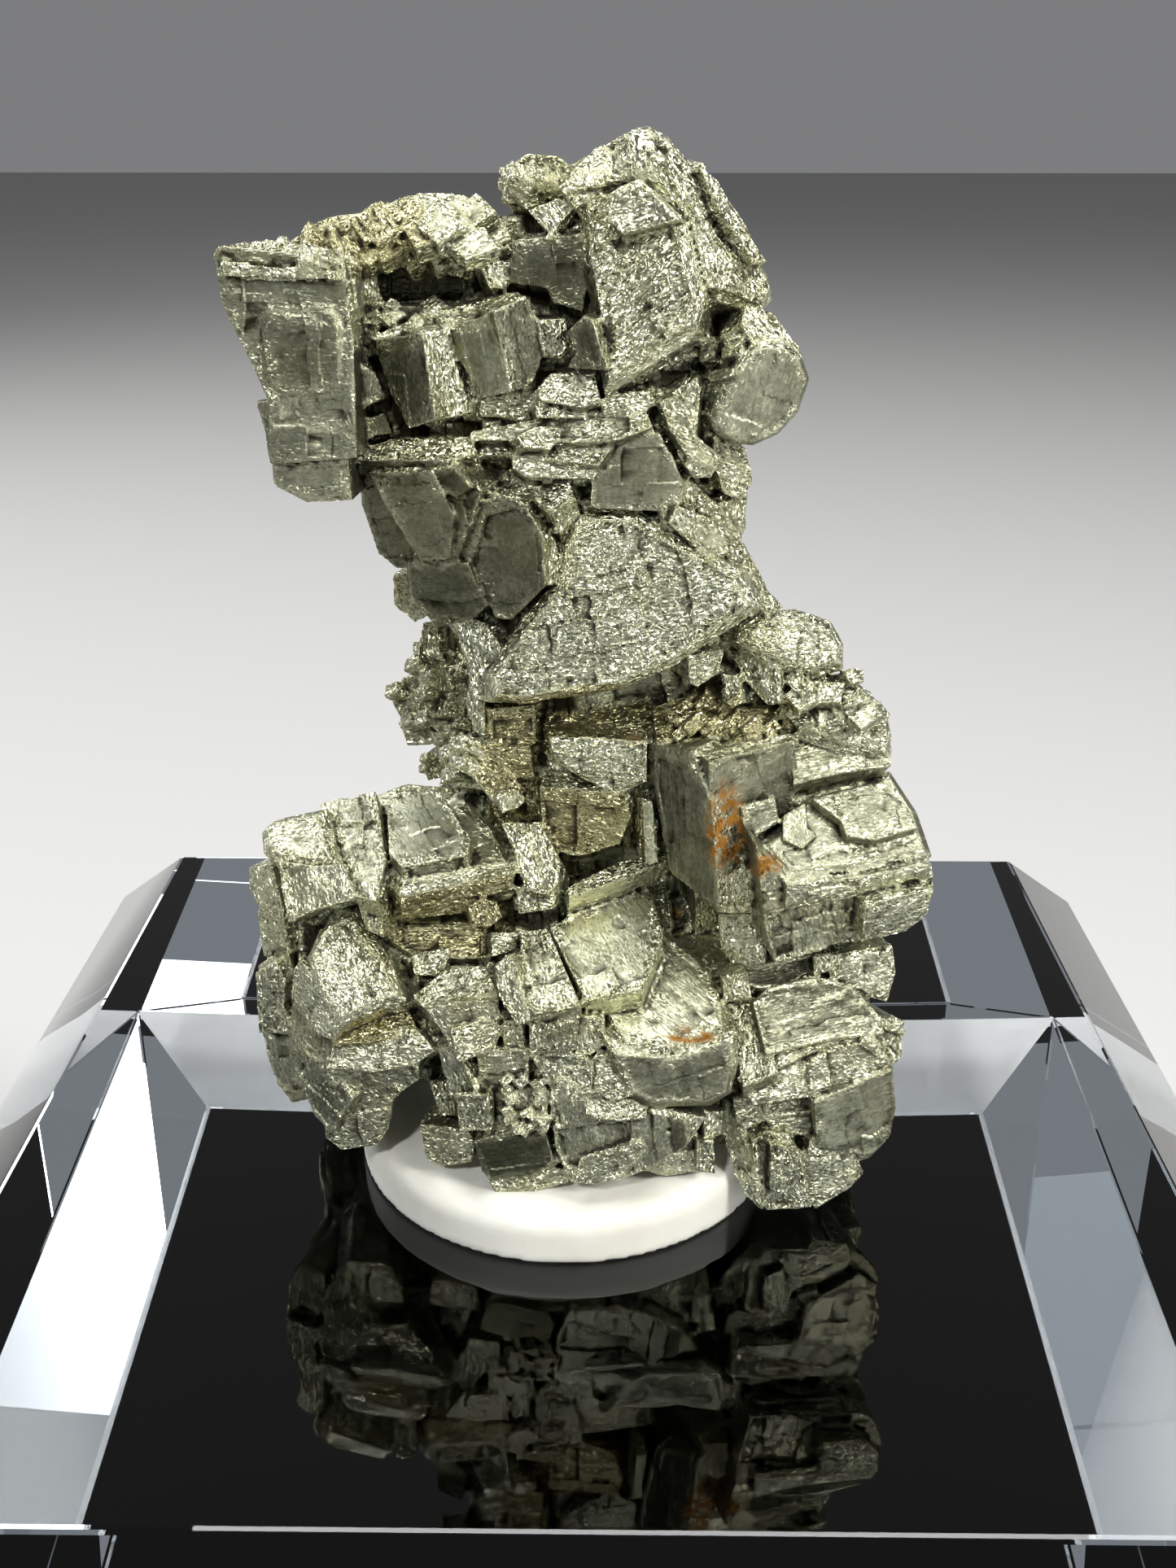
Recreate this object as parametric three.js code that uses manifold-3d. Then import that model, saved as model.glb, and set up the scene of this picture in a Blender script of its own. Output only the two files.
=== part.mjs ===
// Pyrite crystal cluster set in a disc of mounting putty on a clear display block.
// Millimetres, +Z up, the viewer looks along +Y, origin at the bottom centre of the block.
import * as THREE from "three";
import Module from "manifold-3d";
import { mergeVertices } from "three/addons/utils/BufferGeometryUtils.js";

// Driving dimensions.
const BLOCK_SIDE = 76;
const BLOCK_HEIGHT = 50;
const BLOCK_BEVEL = 7;
const PUTTY_CENTRE = [-1.13, -3.52];
const PUTTY_RADIUS = 11.25;
const PUTTY_HEIGHT = 2.7;
const PUTTY_EDGE = 0.9;
const PIECE_GAP = 0.3;
const MERGE_LENGTH = 0.02;

// Crystal faces are laid out as seen from EYE on an upright plane at y = SIGHT_Y,
// with heights measured from the top of the block.
const EYE = new THREE.Vector3(0.88, -79.5, 53.7);
const SIGHT_Y = -8;
const RAD = Math.PI / 180;

const wasm = await Module();
wasm.setup();

/** The geometry with its points joined, before any turn or move. */
function weld(geometry) {
  geometry.deleteAttribute("normal");
  geometry.deleteAttribute("uv");
  return mergeVertices(geometry, 1e-4);
}

/** Closed manifold solid of a welded geometry. */
function solid(welded) {
  const mesh = new wasm.Mesh({
    numProp: 3,
    vertProperties: new Float32Array(welded.attributes.position.array),
    triVerts: new Uint32Array(welded.index.array),
  });
  return new wasm.Manifold(mesh);
}

/** three.js geometry of a manifold solid. */
function geometryOf(body) {
  const mesh = body.getMesh();
  const geometry = new THREE.BufferGeometry();
  geometry.setAttribute("position", new THREE.BufferAttribute(mesh.vertProperties, 3));
  geometry.setIndex(new THREE.BufferAttribute(mesh.triVerts, 1));
  return geometry;
}

/** Named mesh with its own material. */
function piece(name, geometry, colour, roughness, metalness) {
  const flat = geometry.index ? geometry.toNonIndexed() : geometry;
  flat.computeVertexNormals();
  const material = new THREE.MeshStandardMaterial({ color: colour, roughness, metalness });
  const mesh = new THREE.Mesh(flat, material);
  mesh.name = name;
  return mesh;
}

/** Repeatable random numbers from 0 to 1. */
function seeded(seed) {
  let state = seed;
  return () => {
    state = (state * 1664525 + 1013904223) % 4294967296;
    return state / 4294967296;
  };
}

/** Unit vector a face looks along: yaw turns it to the right, tilt turns it up. */
function facing(yaw, tilt) {
  const level = Math.cos(tilt * RAD);
  return new THREE.Vector3(
    Math.sin(yaw * RAD) * level,
    -Math.cos(yaw * RAD) * level,
    Math.sin(tilt * RAD),
  );
}

/** Right-handed frame whose third axis is the given normal. */
function frameOf(normal) {
  const right = new THREE.Vector3(0, 0, 1).cross(normal).normalize();
  const up = normal.clone().cross(right);
  return new THREE.Matrix4().makeBasis(right, up, normal);
}

/** Prism with chamfered ends; its front face lies in the local z = 0 plane. */
function prism(corners, thick, chamfer) {
  const shape = new THREE.Shape(corners);
  const geometry = new THREE.ExtrudeGeometry(shape, {
    depth: thick - 2 * chamfer,
    steps: 1,
    bevelEnabled: chamfer > 0,
    bevelThickness: chamfer,
    bevelSize: chamfer,
    bevelOffset: -chamfer,
    bevelSegments: 1,
  });
  geometry.translate(0, 0, chamfer - thick);
  return weld(geometry);
}

/** Collects crystals and joins them into one solid. */
class Cluster {
  constructor() {
    this.crystals = [];
  }

  /** Point where the sight line through (x, z) meets a plane. */
  sight(x, z, origin, normal) {
    const aim = new THREE.Vector3(x, SIGHT_Y, z).sub(EYE);
    const reach = origin.clone().sub(EYE).dot(normal) / aim.dot(normal);
    return EYE.clone().addScaledVector(aim, reach);
  }

  /**
   * Crystal with a flat face of the given seen outline.
   * depth is the y of the middle of the face, rise lifts it off its plane.
   */
  face(depth, yaw, tilt, thick, outline, rise = 0, chamfer = 0) {
    const normal = facing(yaw, tilt);
    const pairs = [];
    for (let i = 0; i < outline.length; i += 2) pairs.push([outline[i], outline[i + 1]]);
    const midX = pairs.reduce((sum, p) => sum + p[0], 0) / pairs.length;
    const midZ = pairs.reduce((sum, p) => sum + p[1], 0) / pairs.length;
    const upright = new THREE.Vector3(0, -1, 0);
    const middle = this.sight(midX, midZ, new THREE.Vector3(0, depth, 0), upright);
    const basis = frameOf(normal);
    const inverse = basis.clone().transpose();
    const corners = pairs.map(([x, z]) => {
      const local = this.sight(x, z, middle, normal).sub(middle).applyMatrix4(inverse);
      return new THREE.Vector2(local.x, local.y);
    });
    const geometry = prism(corners, thick + rise, chamfer);
    geometry.translate(0, 0, rise);
    geometry.applyMatrix4(basis);
    geometry.translate(middle.x, middle.y, middle.z);
    this.crystals.push(geometry);
  }

  /** Chamfered block by its middle, size and turn about z, x and y in degrees. */
  block(middle, size, turn = [0, 0, 0], chamfer = 0) {
    const [width, deep, height] = size;
    const corners = [
      new THREE.Vector2(-width / 2, -height / 2),
      new THREE.Vector2(width / 2, -height / 2),
      new THREE.Vector2(width / 2, height / 2),
      new THREE.Vector2(-width / 2, height / 2),
    ];
    const geometry = prism(corners, deep, chamfer);
    geometry.translate(0, 0, deep / 2);
    geometry.rotateX(90 * RAD);
    const angles = new THREE.Euler(turn[1] * RAD, turn[2] * RAD, turn[0] * RAD, "ZXY");
    geometry.applyMatrix4(new THREE.Matrix4().makeRotationFromEuler(angles));
    geometry.translate(middle[0], middle[1], middle[2]);
    this.crystals.push(geometry);
  }

  /** All the crystals joined with the hollows sealed inside them filled, on the block. */
  joined() {
    let body = solid(this.crystals[0]);
    for (const crystal of this.crystals.slice(1)) body = body.add(solid(crystal));
    const shells = body.simplify(MERGE_LENGTH).decompose();
    shells.sort((a, b) => b.volume() - a.volume());
    return shells[0].translate([0, 0, BLOCK_HEIGHT]);
  }
}

/** Tall terraced block and the small crystals beside it, upper left. */
function upperLeft(rock) {
  rock.face(-9, -6, 3, 6, [-15.7, 46.9, -15.4, 47.3, -10.2, 46.8, -10, 43, -10.1, 38.4,
    -13.9, 38.1, -13.9, 41, -14.5, 42.6, -15.6, 45.2]);
  rock.face(-9, -6, 3, 2, [-13.8, 44.2, -13.4, 44.7, -10.8, 44.7, -10.5, 43.9, -10.6, 42, -11.1, 41.3,
    -12.3, 41.1, -13.4, 41.4, -13.8, 42.3], 0.3);
  rock.face(-8.8, -6, 0, 4, [-13.9, 38.1, -10.5, 38.3, -10.4, 36.5, -12.4, 36.4, -13.9, 37.2]);
  rock.face(-8.8, -30, 0, 3, [-14.4, 40.9, -13.4, 40.8, -13.2, 38, -14, 38.2, -14.1, 39.6]);
  rock.face(-6.5, 20, 5, 5, [-10.2, 46.8, -8.9, 46.4, -8.6, 45, -9.6, 44, -10.2, 43.2]);
  rock.face(-8.6, -30, 0, 4.2, [-9.1, 43.5, -7, 43.7, -6.6, 40.1, -7.8, 39.7, -8.5, 41.1, -8.9, 42.5]);
  rock.face(-8.65, 32, 0, 3, [-7.1, 43.7, -6, 43.9, -5, 40.4, -6.5, 40, -6.75, 40.2]);
  rock.face(-7.4, -5, 35, 4, [-9.4, 43.6, -7.4, 44.4, -3, 45.5, -2.4, 45.1, -2.5, 44.4,
    -6.2, 43.9, -8.6, 43.2]);
  rock.face(-7.9, -25, -3, 4, [-6.1, 44, -3.8, 44.6, -3.3, 41.3, -4.6, 41, -5.3, 42.3, -5.8, 43.1]);
  rock.face(-8, 30, 0, 4, [-4, 44.6, -2.6, 45.3, -2, 44.2, -1.8, 43, -2.3, 41.7, -3.3, 41.2]);
  rock.face(-7.7, 10, 0, 4, [-2.2, 44.3, -0.9, 44.4, -0.7, 43.1, -1.1, 42.7, -1.9, 42.7]);
}

/** Rough ridge behind the hollow and the knob above it. */
function upperRidge(rock) {
  rock.face(-4, -8, 20, 7, [-12.4, 47.5, -11, 48.4, -8.9, 48.7, -7.2, 49.4, -5.2, 49.3, -3.8, 48.4,
    -3.6, 46.2, -5.2, 46.9, -7, 47.2, -10.3, 46.9]);
  rock.face(-5, -10, 10, 4.5, [-3.6, 49, -3.2, 50.4, -2.5, 50.9, -1.2, 50.8, -0.7, 50.4, -0.9, 49.5,
    -1.8, 48.9]);
}

/** Large roof-shaped block, the faces under it and the round-ended crystal, upper right. */
function upperRight(rock) {
  rock.face(-8.6, -14, 10, 8, [-0.5, 49.4, 2.2, 50, 4, 48.2, 4.9, 45.3, 4.6, 43.8, 0.6, 41.1, 0.3, 43.5,
    -0.3, 46.5], 0, 0.5);
  rock.face(-7.4, 32, 18, 8, [2.1, 50.2, 1.9, 51.9, 2.7, 52.1, 3.5, 51.7, 5.2, 49.9, 7.8, 46.3,
    8.1, 45.3, 7.6, 44.7, 5.1, 45.3, 4, 48.2], 0, 0.5);
  rock.face(-7, -15, 30, 7, [-0.9, 49.4, -0.7, 50.2, 0.4, 51.2, 1.1, 51, 1.9, 51.9, 2.5, 51.9,
    2.3, 50.1]);
  rock.face(-8.6, -14, 10, 3, [1, 49.4, 2.2, 49.9, 3.9, 48.3, 1.5, 47.7, 0.9, 48.4], 0.35);
  rock.face(-9.2, -20, 0, 3, [-0.9, 43.8, -0.2, 44.5, 0.2, 44.3, 0.9, 42.2, -0.9, 42.3, -0.5, 43]);
  rock.face(-7.2, -10, 0, 5, [-3.1, 47.5, -0.3, 47.8, 0, 46, -0.2, 44.6, -1.5, 45, -1.7, 45.6,
    -3.3, 45.8]);
  rock.face(-8.5, 12, -3, 6, [5.4, 40.1, 5.8, 41.4, 6.5, 42.6, 7.3, 43.4, 8.4, 43.4, 9.2, 42.8, 9.6, 41.8,
    9.2, 40.4, 8.4, 39.4, 7.3, 38.9, 6.3, 39, 5.6, 39.5], 0, 0.25);
  rock.face(-7.6, 30, 25, 5, [6.7, 45, 7.9, 44.6, 9, 43.3, 9.2, 42.7, 7, 43.4, 6.5, 44.2]);
  rock.face(-6, 0, 0, 5, [4.8, 44.6, 6.5, 44.6, 6.6, 41.6, 5.6, 40.8, 4.8, 41.4]);
}

/** Layered plates, blades and grey faces under the upper blocks. */
function upperPlates(rock) {
  rock.face(-8.2, -10, 5, 4, [3, 40.9, 4.7, 42, 4.9, 41.4, 4.7, 38.9, 4, 38.4, 3.6, 39.4]);
  rock.face(-7.6, 20, 0, 4, [5.5, 39.4, 7, 38.9, 7.3, 37.4, 6.8, 36.5, 6, 36.9, 5.6, 38]);
  rock.face(-8.4, 0, -3, 5, [0.2, 38.3, 1.2, 39.1, 3.1, 39.6, 3.7, 38.6, 4.2, 37.4, 4.1, 36.4,
    3.3, 36, 0.1, 36.2]);
  rock.face(-7.8, 15, -5, 5, [3.2, 36.2, 4.4, 37.5, 6, 36.2, 6.9, 35, 6.6, 34.2, 5.6, 33.9, 3.4, 35.4]);
  rock.face(-8.6, -3, 30, 6, [-5.1, 39.6, -3, 40, 0.4, 40.5, 2.6, 40.4, 2.9, 39.8, 1, 39.1, -5.2, 39.2]);
  rock.face(-8.5, -5, 30, 6, [-5, 39.2, -1, 39, 1.1, 38.9, 0.5, 38.1, -3.2, 38.5, -5, 38.5]);
  rock.face(-8.3, -15, 40, 4, [-10.2, 38.8, -8.5, 39.3, -5, 39.4, -4.9, 38.6, -6, 38.3, -10.1, 38.3]);
}

/** Dark slabs and the large rounded face of the waist. */
function waist(rock) {
  rock.face(-8, -24, -8, 7, [-10.2, 38.4, -6, 38.3, -4.7, 36.9, -5.2, 35.4, -5.9, 33.7, -8.6, 33.4,
    -9.4, 34.1, -10, 36.2]);
  rock.face(-7.6, -20, -18, 6, [-8.2, 33.7, -5.4, 33.7, -4.6, 31.6, -5.3, 31, -6.9, 30.6, -8, 32]);
  rock.face(-8.6, -12, -6, 6, [-5.1, 36.8, -4, 36.9, -2.7, 36.2, -2, 35, -1.9, 32.6, -3.5, 31,
    -4.2, 31.1, -5.1, 33]);
  rock.face(-8.6, -6, 8, 8, [-1.3, 34.5, -0.9, 35.7, -0.2, 36.2, 2.2, 36.1, 4.5, 34.7, 6.9, 33.3,
    7.9, 31.6, 6.7, 30.7, 4.1, 28.8, 1.5, 27.6, -3, 26.8, -4.6, 26.9, -4.8, 28.3, -3, 31.1,
    -1.7, 32.6], 0, 0.45);
  rock.face(-6.5, 35, 15, 6, [6.3, 34.2, 7, 34.7, 8.2, 32.5, 8.9, 31.7, 8.2, 31.2, 6.6, 33]);
  rock.face(-7.6, -18, 15, 5, [-6.2, 31.5, -4.7, 30.9, -4, 29.8, -4, 28.5, -4.6, 27, -5.3, 27.2]);
  rock.face(-7.6, 12, 15, 2.4, [-5.9, 24.4, -5.3, 25, -4.8, 24.9, -3.1, 22.7, -4.4, 21.8, -5.8, 23.7]);
  rock.face(-7.2, 5, 0, 5, [-4.6, 26.7, -2.4, 26.9, -2.4, 24.9, -4.6, 25]);
  rock.face(-7.4, 0, -5, 5, [-4.7, 24.8, -2.7, 24.8, -2.5, 23.2, -4, 23.2]);
  rock.face(-6.4, -8, 65, 4, [-2, 27.2, 2.5, 27.8, 3.2, 26.4, 3, 25.1, 0, 25.1, -1.9, 25.4]);
  rock.face(-8.1, 0, -6, 6, [-1.9, 25.4, 2.8, 25.1, 2.8, 23, 1.4, 22.3, 0, 23, -1.5, 24]);
  rock.face(-7.6, -6, -4, 6, [-2.3, 22.8, 1.8, 22.4, 2.1, 21.2, 1.5, 19.6, -0.6, 19, -1.4, 19.3,
    -2.2, 20.6]);
}

/** Small crystals standing out behind the left of the waist. */
function waistLeft(rock) {
  rock.face(1, -20, 10, 5, [-9.1, 26.9, -8.6, 28.2, -8, 28.4, -7.5, 27.4, -7.5, 26.2, -8.6, 25.9]);
  rock.face(-1, 10, 5, 6, [-7.8, 28.7, -6.2, 28.8, -5.6, 27.5, -6, 26.2, -7.2, 26.2, -7.7, 27]);
  rock.face(0.6, -10, 15, 4, [-8.4, 28.5, -7.8, 29.6, -7.5, 30.9, -6.9, 30.9, -6.6, 29, -7.6, 28.4]);
  rock.face(0, -15, -5, 5, [-8.8, 33.1, -7.4, 33.4, -7, 31.4, -7.9, 30.8, -8.8, 31.7]);
  rock.face(-4, 5, 20, 5, [-6.9, 24.4, -4.6, 25.4, -4.4, 22.4, -6.5, 22.8]);
}

/** Big blocks and ledges of the right shoulder. */
function rightShoulder(rock) {
  rock.face(-7.6, 15, 5, 3, [4.6, 29.3, 6.3, 29.7, 6.1, 28.5, 5.1, 27.8, 4.7, 28]);
  rock.face(-6.6, 18, 18, 9, [7.1, 30.8, 8, 31.5, 10, 31.5, 11.3, 31, 11.9, 30, 12, 28.7, 10.6, 28.2,
    8.8, 28.6, 7, 30], 0, 0.5);
  rock.face(-6.8, -25, 15, 4, [6.6, 29.3, 7.5, 30, 8.9, 28.6, 9, 27, 8.3, 26.9, 7.4, 28]);
  rock.face(-6.4, 22, 25, 10, [9, 28, 11.9, 28.6, 13.2, 27.8, 14.1, 26.8, 14.5, 25.4, 14.4, 24,
    12, 24.6, 9.4, 25.6], 0, 0.5);
  rock.face(-7, 5, 62, 5, [3, 26.9, 6.3, 27.9, 9, 27.2, 9.9, 26, 8.6, 25.3, 5.4, 25, 3.2, 25.2]);
  rock.face(-8.8, 27, -4, 7, [5.7, 24.1, 7.6, 24.6, 9.8, 25.2, 9.9, 22, 9.6, 19, 8, 16, 6.4, 16,
    6, 19.5]);
  rock.face(-6.8, 20, 45, 5, [9.6, 25.6, 13.2, 25.9, 14.3, 24.9, 14.4, 23.9, 12, 23.5, 9.8, 22.9]);
  rock.face(-9.5, 14, -8, 8, [8.1, 19.8, 9.7, 18, 13, 18.4, 16.4, 19.3, 16.8, 18.2, 16.9, 17.2,
    16.5, 16, 15.7, 15.2, 12.4, 14.2, 9.3, 13.2, 8.7, 15.5]);
  rock.face(-8.2, 14, 48, 7, [8.1, 19.9, 9.4, 21, 10.2, 22.6, 13.4, 23.4, 14.4, 23.9, 15.9, 21.7,
    16.8, 19.4, 13, 18.2, 9.7, 17.9], 0, 0.5);
  rock.face(-8.2, 14, 48, 3, [10.6, 22.1, 13.4, 22.9, 15, 22, 15.8, 20.6, 13.8, 19.9, 12.4, 20.1,
    12.1, 20.9], 0.25);
  rock.face(-9.8, 14, -8, 3, [13.4, 16.7, 14.8, 17.2, 16.7, 17.6, 16.5, 16.2, 15.5, 15.3, 13.4, 14.7], 0.4);
  rock.face(-9.6, 5, -3, 3, [6.5, 17.5, 7.6, 18.7, 8, 18, 8.1, 16, 6.5, 16]);
  rock.face(-8, -5, 5, 5, [6.4, 16, 8.4, 16, 8.9, 13.2, 7.3, 13, 6.6, 14]);
  rock.face(-9, -42, -4, 6, [3, 25, 4.9, 24.6, 5.9, 21.9, 6.5, 16.1, 3.9, 18.3, 3.1, 23]);
}

/** Broad tilted plates and the golden recess, lower left. */
function leftPlates(rock) {
  rock.face(-7.2, -18, 50, 6, [-15.9, 20.5, -15.2, 21.2, -12.6, 21.8, -12.4, 20.4, -12, 18.6,
    -13.4, 18.4, -15.2, 18.6, -15.9, 19.4], 0, 0.5);
  rock.face(-9, -14, 25, 5, [-15.2, 18.8, -13.3, 18.5, -11.9, 18.6, -11.4, 16.7, -13.6, 16, -14.8, 15.3]);
  rock.face(-6.8, -20, 10, 6, [-16.5, 18.4, -15.4, 18.6, -15, 16.2, -16.2, 16.1, -16.6, 17.3]);
  rock.face(-7.2, -25, 0, 5, [-16.3, 16, -15, 16, -14.9, 13.6, -16.2, 13.4]);
  rock.face(-7.4, -14, 58, 6, [-12.8, 21.9, -10.1, 22.5, -9.8, 18.8, -10.4, 16.6, -11.4, 16.8,
    -11.9, 18.6, -12.8, 20.2]);
  rock.face(-6, -8, 70, 2.4, [-10.5, 22.4, -8.6, 23.2, -6.4, 23, -4.3, 20.8, -3.4, 18.5, -7, 17.7,
    -9.3, 17.2, -10, 18.2], 0, 0.5);
  rock.face(-8.4, -6, -6, 7, [-10.2, 17.8, -9.3, 17, -7, 17.4, -3.5, 18.2, -3.7, 17.2, -5.5, 16.7,
    -6.2, 15.9, -10.2, 15.4]);
  rock.face(-7.6, -8, 50, 6, [-10.2, 16.6, -6, 16.7, -3.6, 16.2, -3.5, 15, -5, 13.4, -8.5, 13.4,
    -10, 14.5]);
  rock.face(-8.4, -5, 35, 5, [-4.2, 20.9, -2.3, 20.9, -1.3, 18.9, -1.4, 17.6, -2, 17, -3.1, 17.1,
    -3.6, 19.4]);
  rock.face(-7.4, 8, 50, 2.5, [-1.1, 17.4, 1.5, 18.8, 3.7, 19.5, 3.9, 18.9, 1.9, 17.9, -0.9, 16.8]);
  rock.face(-4.2, 4, 66, 6, [-1.6, 16.3, -1.3, 18.4, 0.5, 19.3, 3.4, 19.6, 3.8, 18, 4.2, 15.2,
    3, 14.5, 0, 14.5]);
}

/** Rotated stepped block and its neighbours, lower left front. */
function leftFront(rock) {
  rock.face(-8, -22, 6, 8, [-16.5, 12.9, -15.6, 13.6, -14.9, 13.7, -14.5, 9.1, -14.4, 5, -15.4, 4.7,
    -16.1, 6, -16.6, 8.2, -16.7, 10.5]);
  rock.face(-10.2, -12, 42, 7, [-14.1, 13.5, -13.4, 15.1, -12.4, 15.9, -11.6, 16, -10, 13.5, -9.2, 11,
    -10.5, 10.6, -12.7, 9.4, -13.8, 11.6], 0, 0.4);
  rock.face(-9.9, -40, 5, 5, [-15, 10.8, -13.6, 9.6, -12.8, 8.2, -13, 6.8, -14.7, 7.6, -15.2, 9]);
  rock.face(-10.2, -42, 12, 5, [-14.4, 13.4, -13.3, 11.2, -12.5, 9.3, -12.9, 8.5, -13.8, 8.9,
    -15, 11, -14.8, 12.6]);
  rock.face(-10.9, -5, 52, 5, [-12.8, 9.5, -10.5, 10.7, -9.2, 10.9, -8.6, 9.2, -11, 8.5, -13.1, 8.3]);
  rock.face(-11.6, -6, 26, 5, [-13, 8.5, -10.6, 8.7, -9.6, 9.4, -8.6, 9.2, -7.8, 8, -8.7, 7.2,
    -11, 6.6, -13.4, 6.9]);
  rock.face(-11.2, -8, -8, 5, [-13.5, 7.2, -8.7, 7.3, -8.7, 6.2, -9.6, 5.5, -10.1, 4.9, -13.4, 5.8]);
  rock.face(-10.4, -30, 0, 5, [-14.7, 7.9, -13.2, 7, -12.2, 5, -13.4, 2.8, -14.3, 4, -14.7, 5.5]);
  rock.face(-10.3, 4, 2, 5, [-13.7, 3.6, -13.2, 5.2, -12, 5.7, -10.1, 5, -10.4, 3.2, -11, 2.1,
    -13, 1.8, -13.8, 2.6]);
  rock.face(-10.8, -8, 55, 5, [-8.9, 11.2, -7.8, 12.2, -6.9, 13, -5.1, 13, -4.5, 11.4, -6.5, 10.9,
    -8.1, 10.3]);
  rock.face(-11.8, 4, 5, 4, [-8.2, 10.4, -6.5, 10.9, -4.5, 11, -4.4, 9.8, -5.2, 8.6, -7, 8.3]);
  rock.face(-12, -22, 25, 4, [-4.7, 12.9, -4.1, 13.7, -3.6, 13.2, -2.9, 9.8, -3.6, 9.5, -4.5, 11.2]);
  rock.face(-12.4, -6, 0, 6, [-5.7, 7.9, -3, 8.1, -3.1, 5.5, -4.2, 3, -5.4, 3]);
  rock.face(-12, -30, 5, 4, [-7.7, 8.2, -6.8, 8.6, -5.7, 5.4, -6.8, 4.6, -7.5, 6.6]);
  rock.face(-11.6, -10, 8, 6, [-8.8, 3.5, -6.3, 3.2, -5.9, 2.3, -6.1, 1.1, -7.7, 0.8, -8.5, 1.2]);
  rock.face(-13, -4, 6, 6, [-6, 2.4, -4, 3.1, -2.2, 3, -1.8, 1.4, -2.4, 0.5, -5, 0, -5.6, 0.5]);
  rock.face(-12.8, 0, 15, 5, [-5.7, 0.9, -2.2, 0.9, -1, 0.6, -1, -0.2, -3, -0.8, -4.9, -0.9]);
}

/** Big block of the lower middle and the stepped mass under it. */
function lowerMiddle(rock) {
  rock.face(-8.6, 4, 66, 6, [-1.9, 15.2, -1.6, 16.4, 0, 17.2, 3, 18, 4, 15.3, 6.6, 12.8, 7.1, 11,
    7.5, 9.2, 4.2, 7.9, 1.6, 8.1, 0.7, 9.9, -0.9, 12], 0, 0.5);
  rock.face(-8.6, 4, 66, 3, [-1.9, 15, 0.5, 16.6, 3, 17.2, 3.8, 14.6, 2.8, 11.5, -0.1, 10.8], 0.3);
  rock.face(-12.9, 3, 8, 6, [0.7, 9, 1.7, 8.3, 4.4, 8, 7.6, 9.2, 7.8, 7.2, 7.5, 5.3, 6.4, 4.5,
    3.2, 4.4, 1.9, 5.2, 1.25, 7.1], 0, 0.42);
  rock.face(-12.7, -10, 20, 4, [0.2, 7.4, 0.6, 8.3, 2.2, 6.8, 2.3, 5.3, 1.2, 4.9, 0.4, 5.8]);
  rock.face(-11.2, -6, 58, 5, [-3.4, 13.4, -3.3, 15, -2, 15.2, -0.3, 10.7, -2.7, 10.2, -3.3, 11.2]);
  rock.face(-12.6, -4, 5, 5, [-3, 10.4, -0.3, 10.7, -0.7, 8, -2.2, 7.9, -3, 7.6]);
  rock.face(-12.7, -4, 10, 5, [-3.1, 8, -1, 8, 0.3, 7.4, 0.2, 5.4, -1.6, 5.4, -2.4, 6.6]);
  rock.face(-13, 4, 5, 8, [-2, 5.6, -1.6, 6.5, 0.3, 5.6, 3, 4.8, 6.2, 4, 5.2, 2.2, 3.4, 0.8, 1.6, 0,
    -0.9, -0.2, -1.7, 2]);
  rock.face(-12, 8, 0, 6, [2.8, 2.7, 5.7, 3.5, 6, 0.5, 4, 0.3, 2.8, 0.7]);
}

/** Stepped terraces and corner crystals, lower right. */
function lowerRight(rock) {
  rock.face(-9.8, 5, 12, 4, [6.7, 12.4, 8, 12.7, 8.3, 11.1, 6.9, 10.9]);
  rock.face(-10.8, -8, 52, 6, [6.9, 11.2, 8.4, 11.3, 9.5, 7.9, 9.8, 6.8, 8, 5.9, 7.4, 9.1]);
  rock.face(-9.6, 14, 52, 6, [8.3, 11, 9.2, 12, 11.5, 12.5, 13.2, 12.1, 14.8, 10.2, 15.1, 9.2, 12.7, 8.9,
    9.1, 7.9]);
  rock.face(-10.6, 8, 44, 5, [9.1, 8.2, 11.7, 9.9, 12.7, 9.7, 12.8, 8.7, 9.7, 7]);
  rock.face(-11, 8, 22, 5, [7.8, 6.2, 9.7, 7.1, 12.8, 8.8, 14.1, 9.2, 15.4, 7.7, 15.7, 6.9, 11.9, 5.4,
    8.6, 4.8]);
  rock.face(-11, 18, 0, 6, [11.7, 4.9, 15.7, 7.2, 16, 4.6, 15.8, 2.9, 14.8, 1.6, 12.1, 2.2]);
  rock.face(-11, 12, 6, 6, [9.2, 5.4, 12, 5.6, 12, 4.2, 9.4, 3.7]);
  rock.face(-10.6, 16, -10, 7, [11.8, 4.7, 16, 4.8, 15.9, 3, 14.8, 1.5, 13.3, 1, 12, 2]);
  rock.face(-8.6, 18, 15, 5, [14.4, 10, 15.5, 10.2, 16, 9.6, 16.1, 8, 15, 7.5, 14.4, 8.4]);
  rock.face(-7.6, 12, 10, 6, [12.1, 13.7, 14.2, 14.2, 15.1, 14.3, 15.4, 12.7, 15.1, 11, 13.2, 11.6,
    12.1, 12.4]);
  rock.face(-7.4, -5, 10, 6, [8.6, 13.6, 11.2, 13.6, 11.4, 12.2, 8.6, 11.8]);
  rock.face(-11.2, -34, 8, 5, [7, 4.9, 7.6, 5, 8, 3.5, 8.8, 1.2, 9.3, -1.9, 8.4, -1, 7.8, 0.3, 7.2, 2.4]);
  rock.face(-11.8, 4, 4, 6, [8.6, 2.6, 9.4, 3.2, 10.5, 3, 11.1, 2, 12, -1.7, 9.6, -1.9, 8.9, -0.4]);
  rock.face(-11.1, 18, 6, 6, [11, 2, 14, 2, 14.6, 0.6, 14, -0.3, 12.2, -1.8, 11.3, -0.6]);
}

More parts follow.
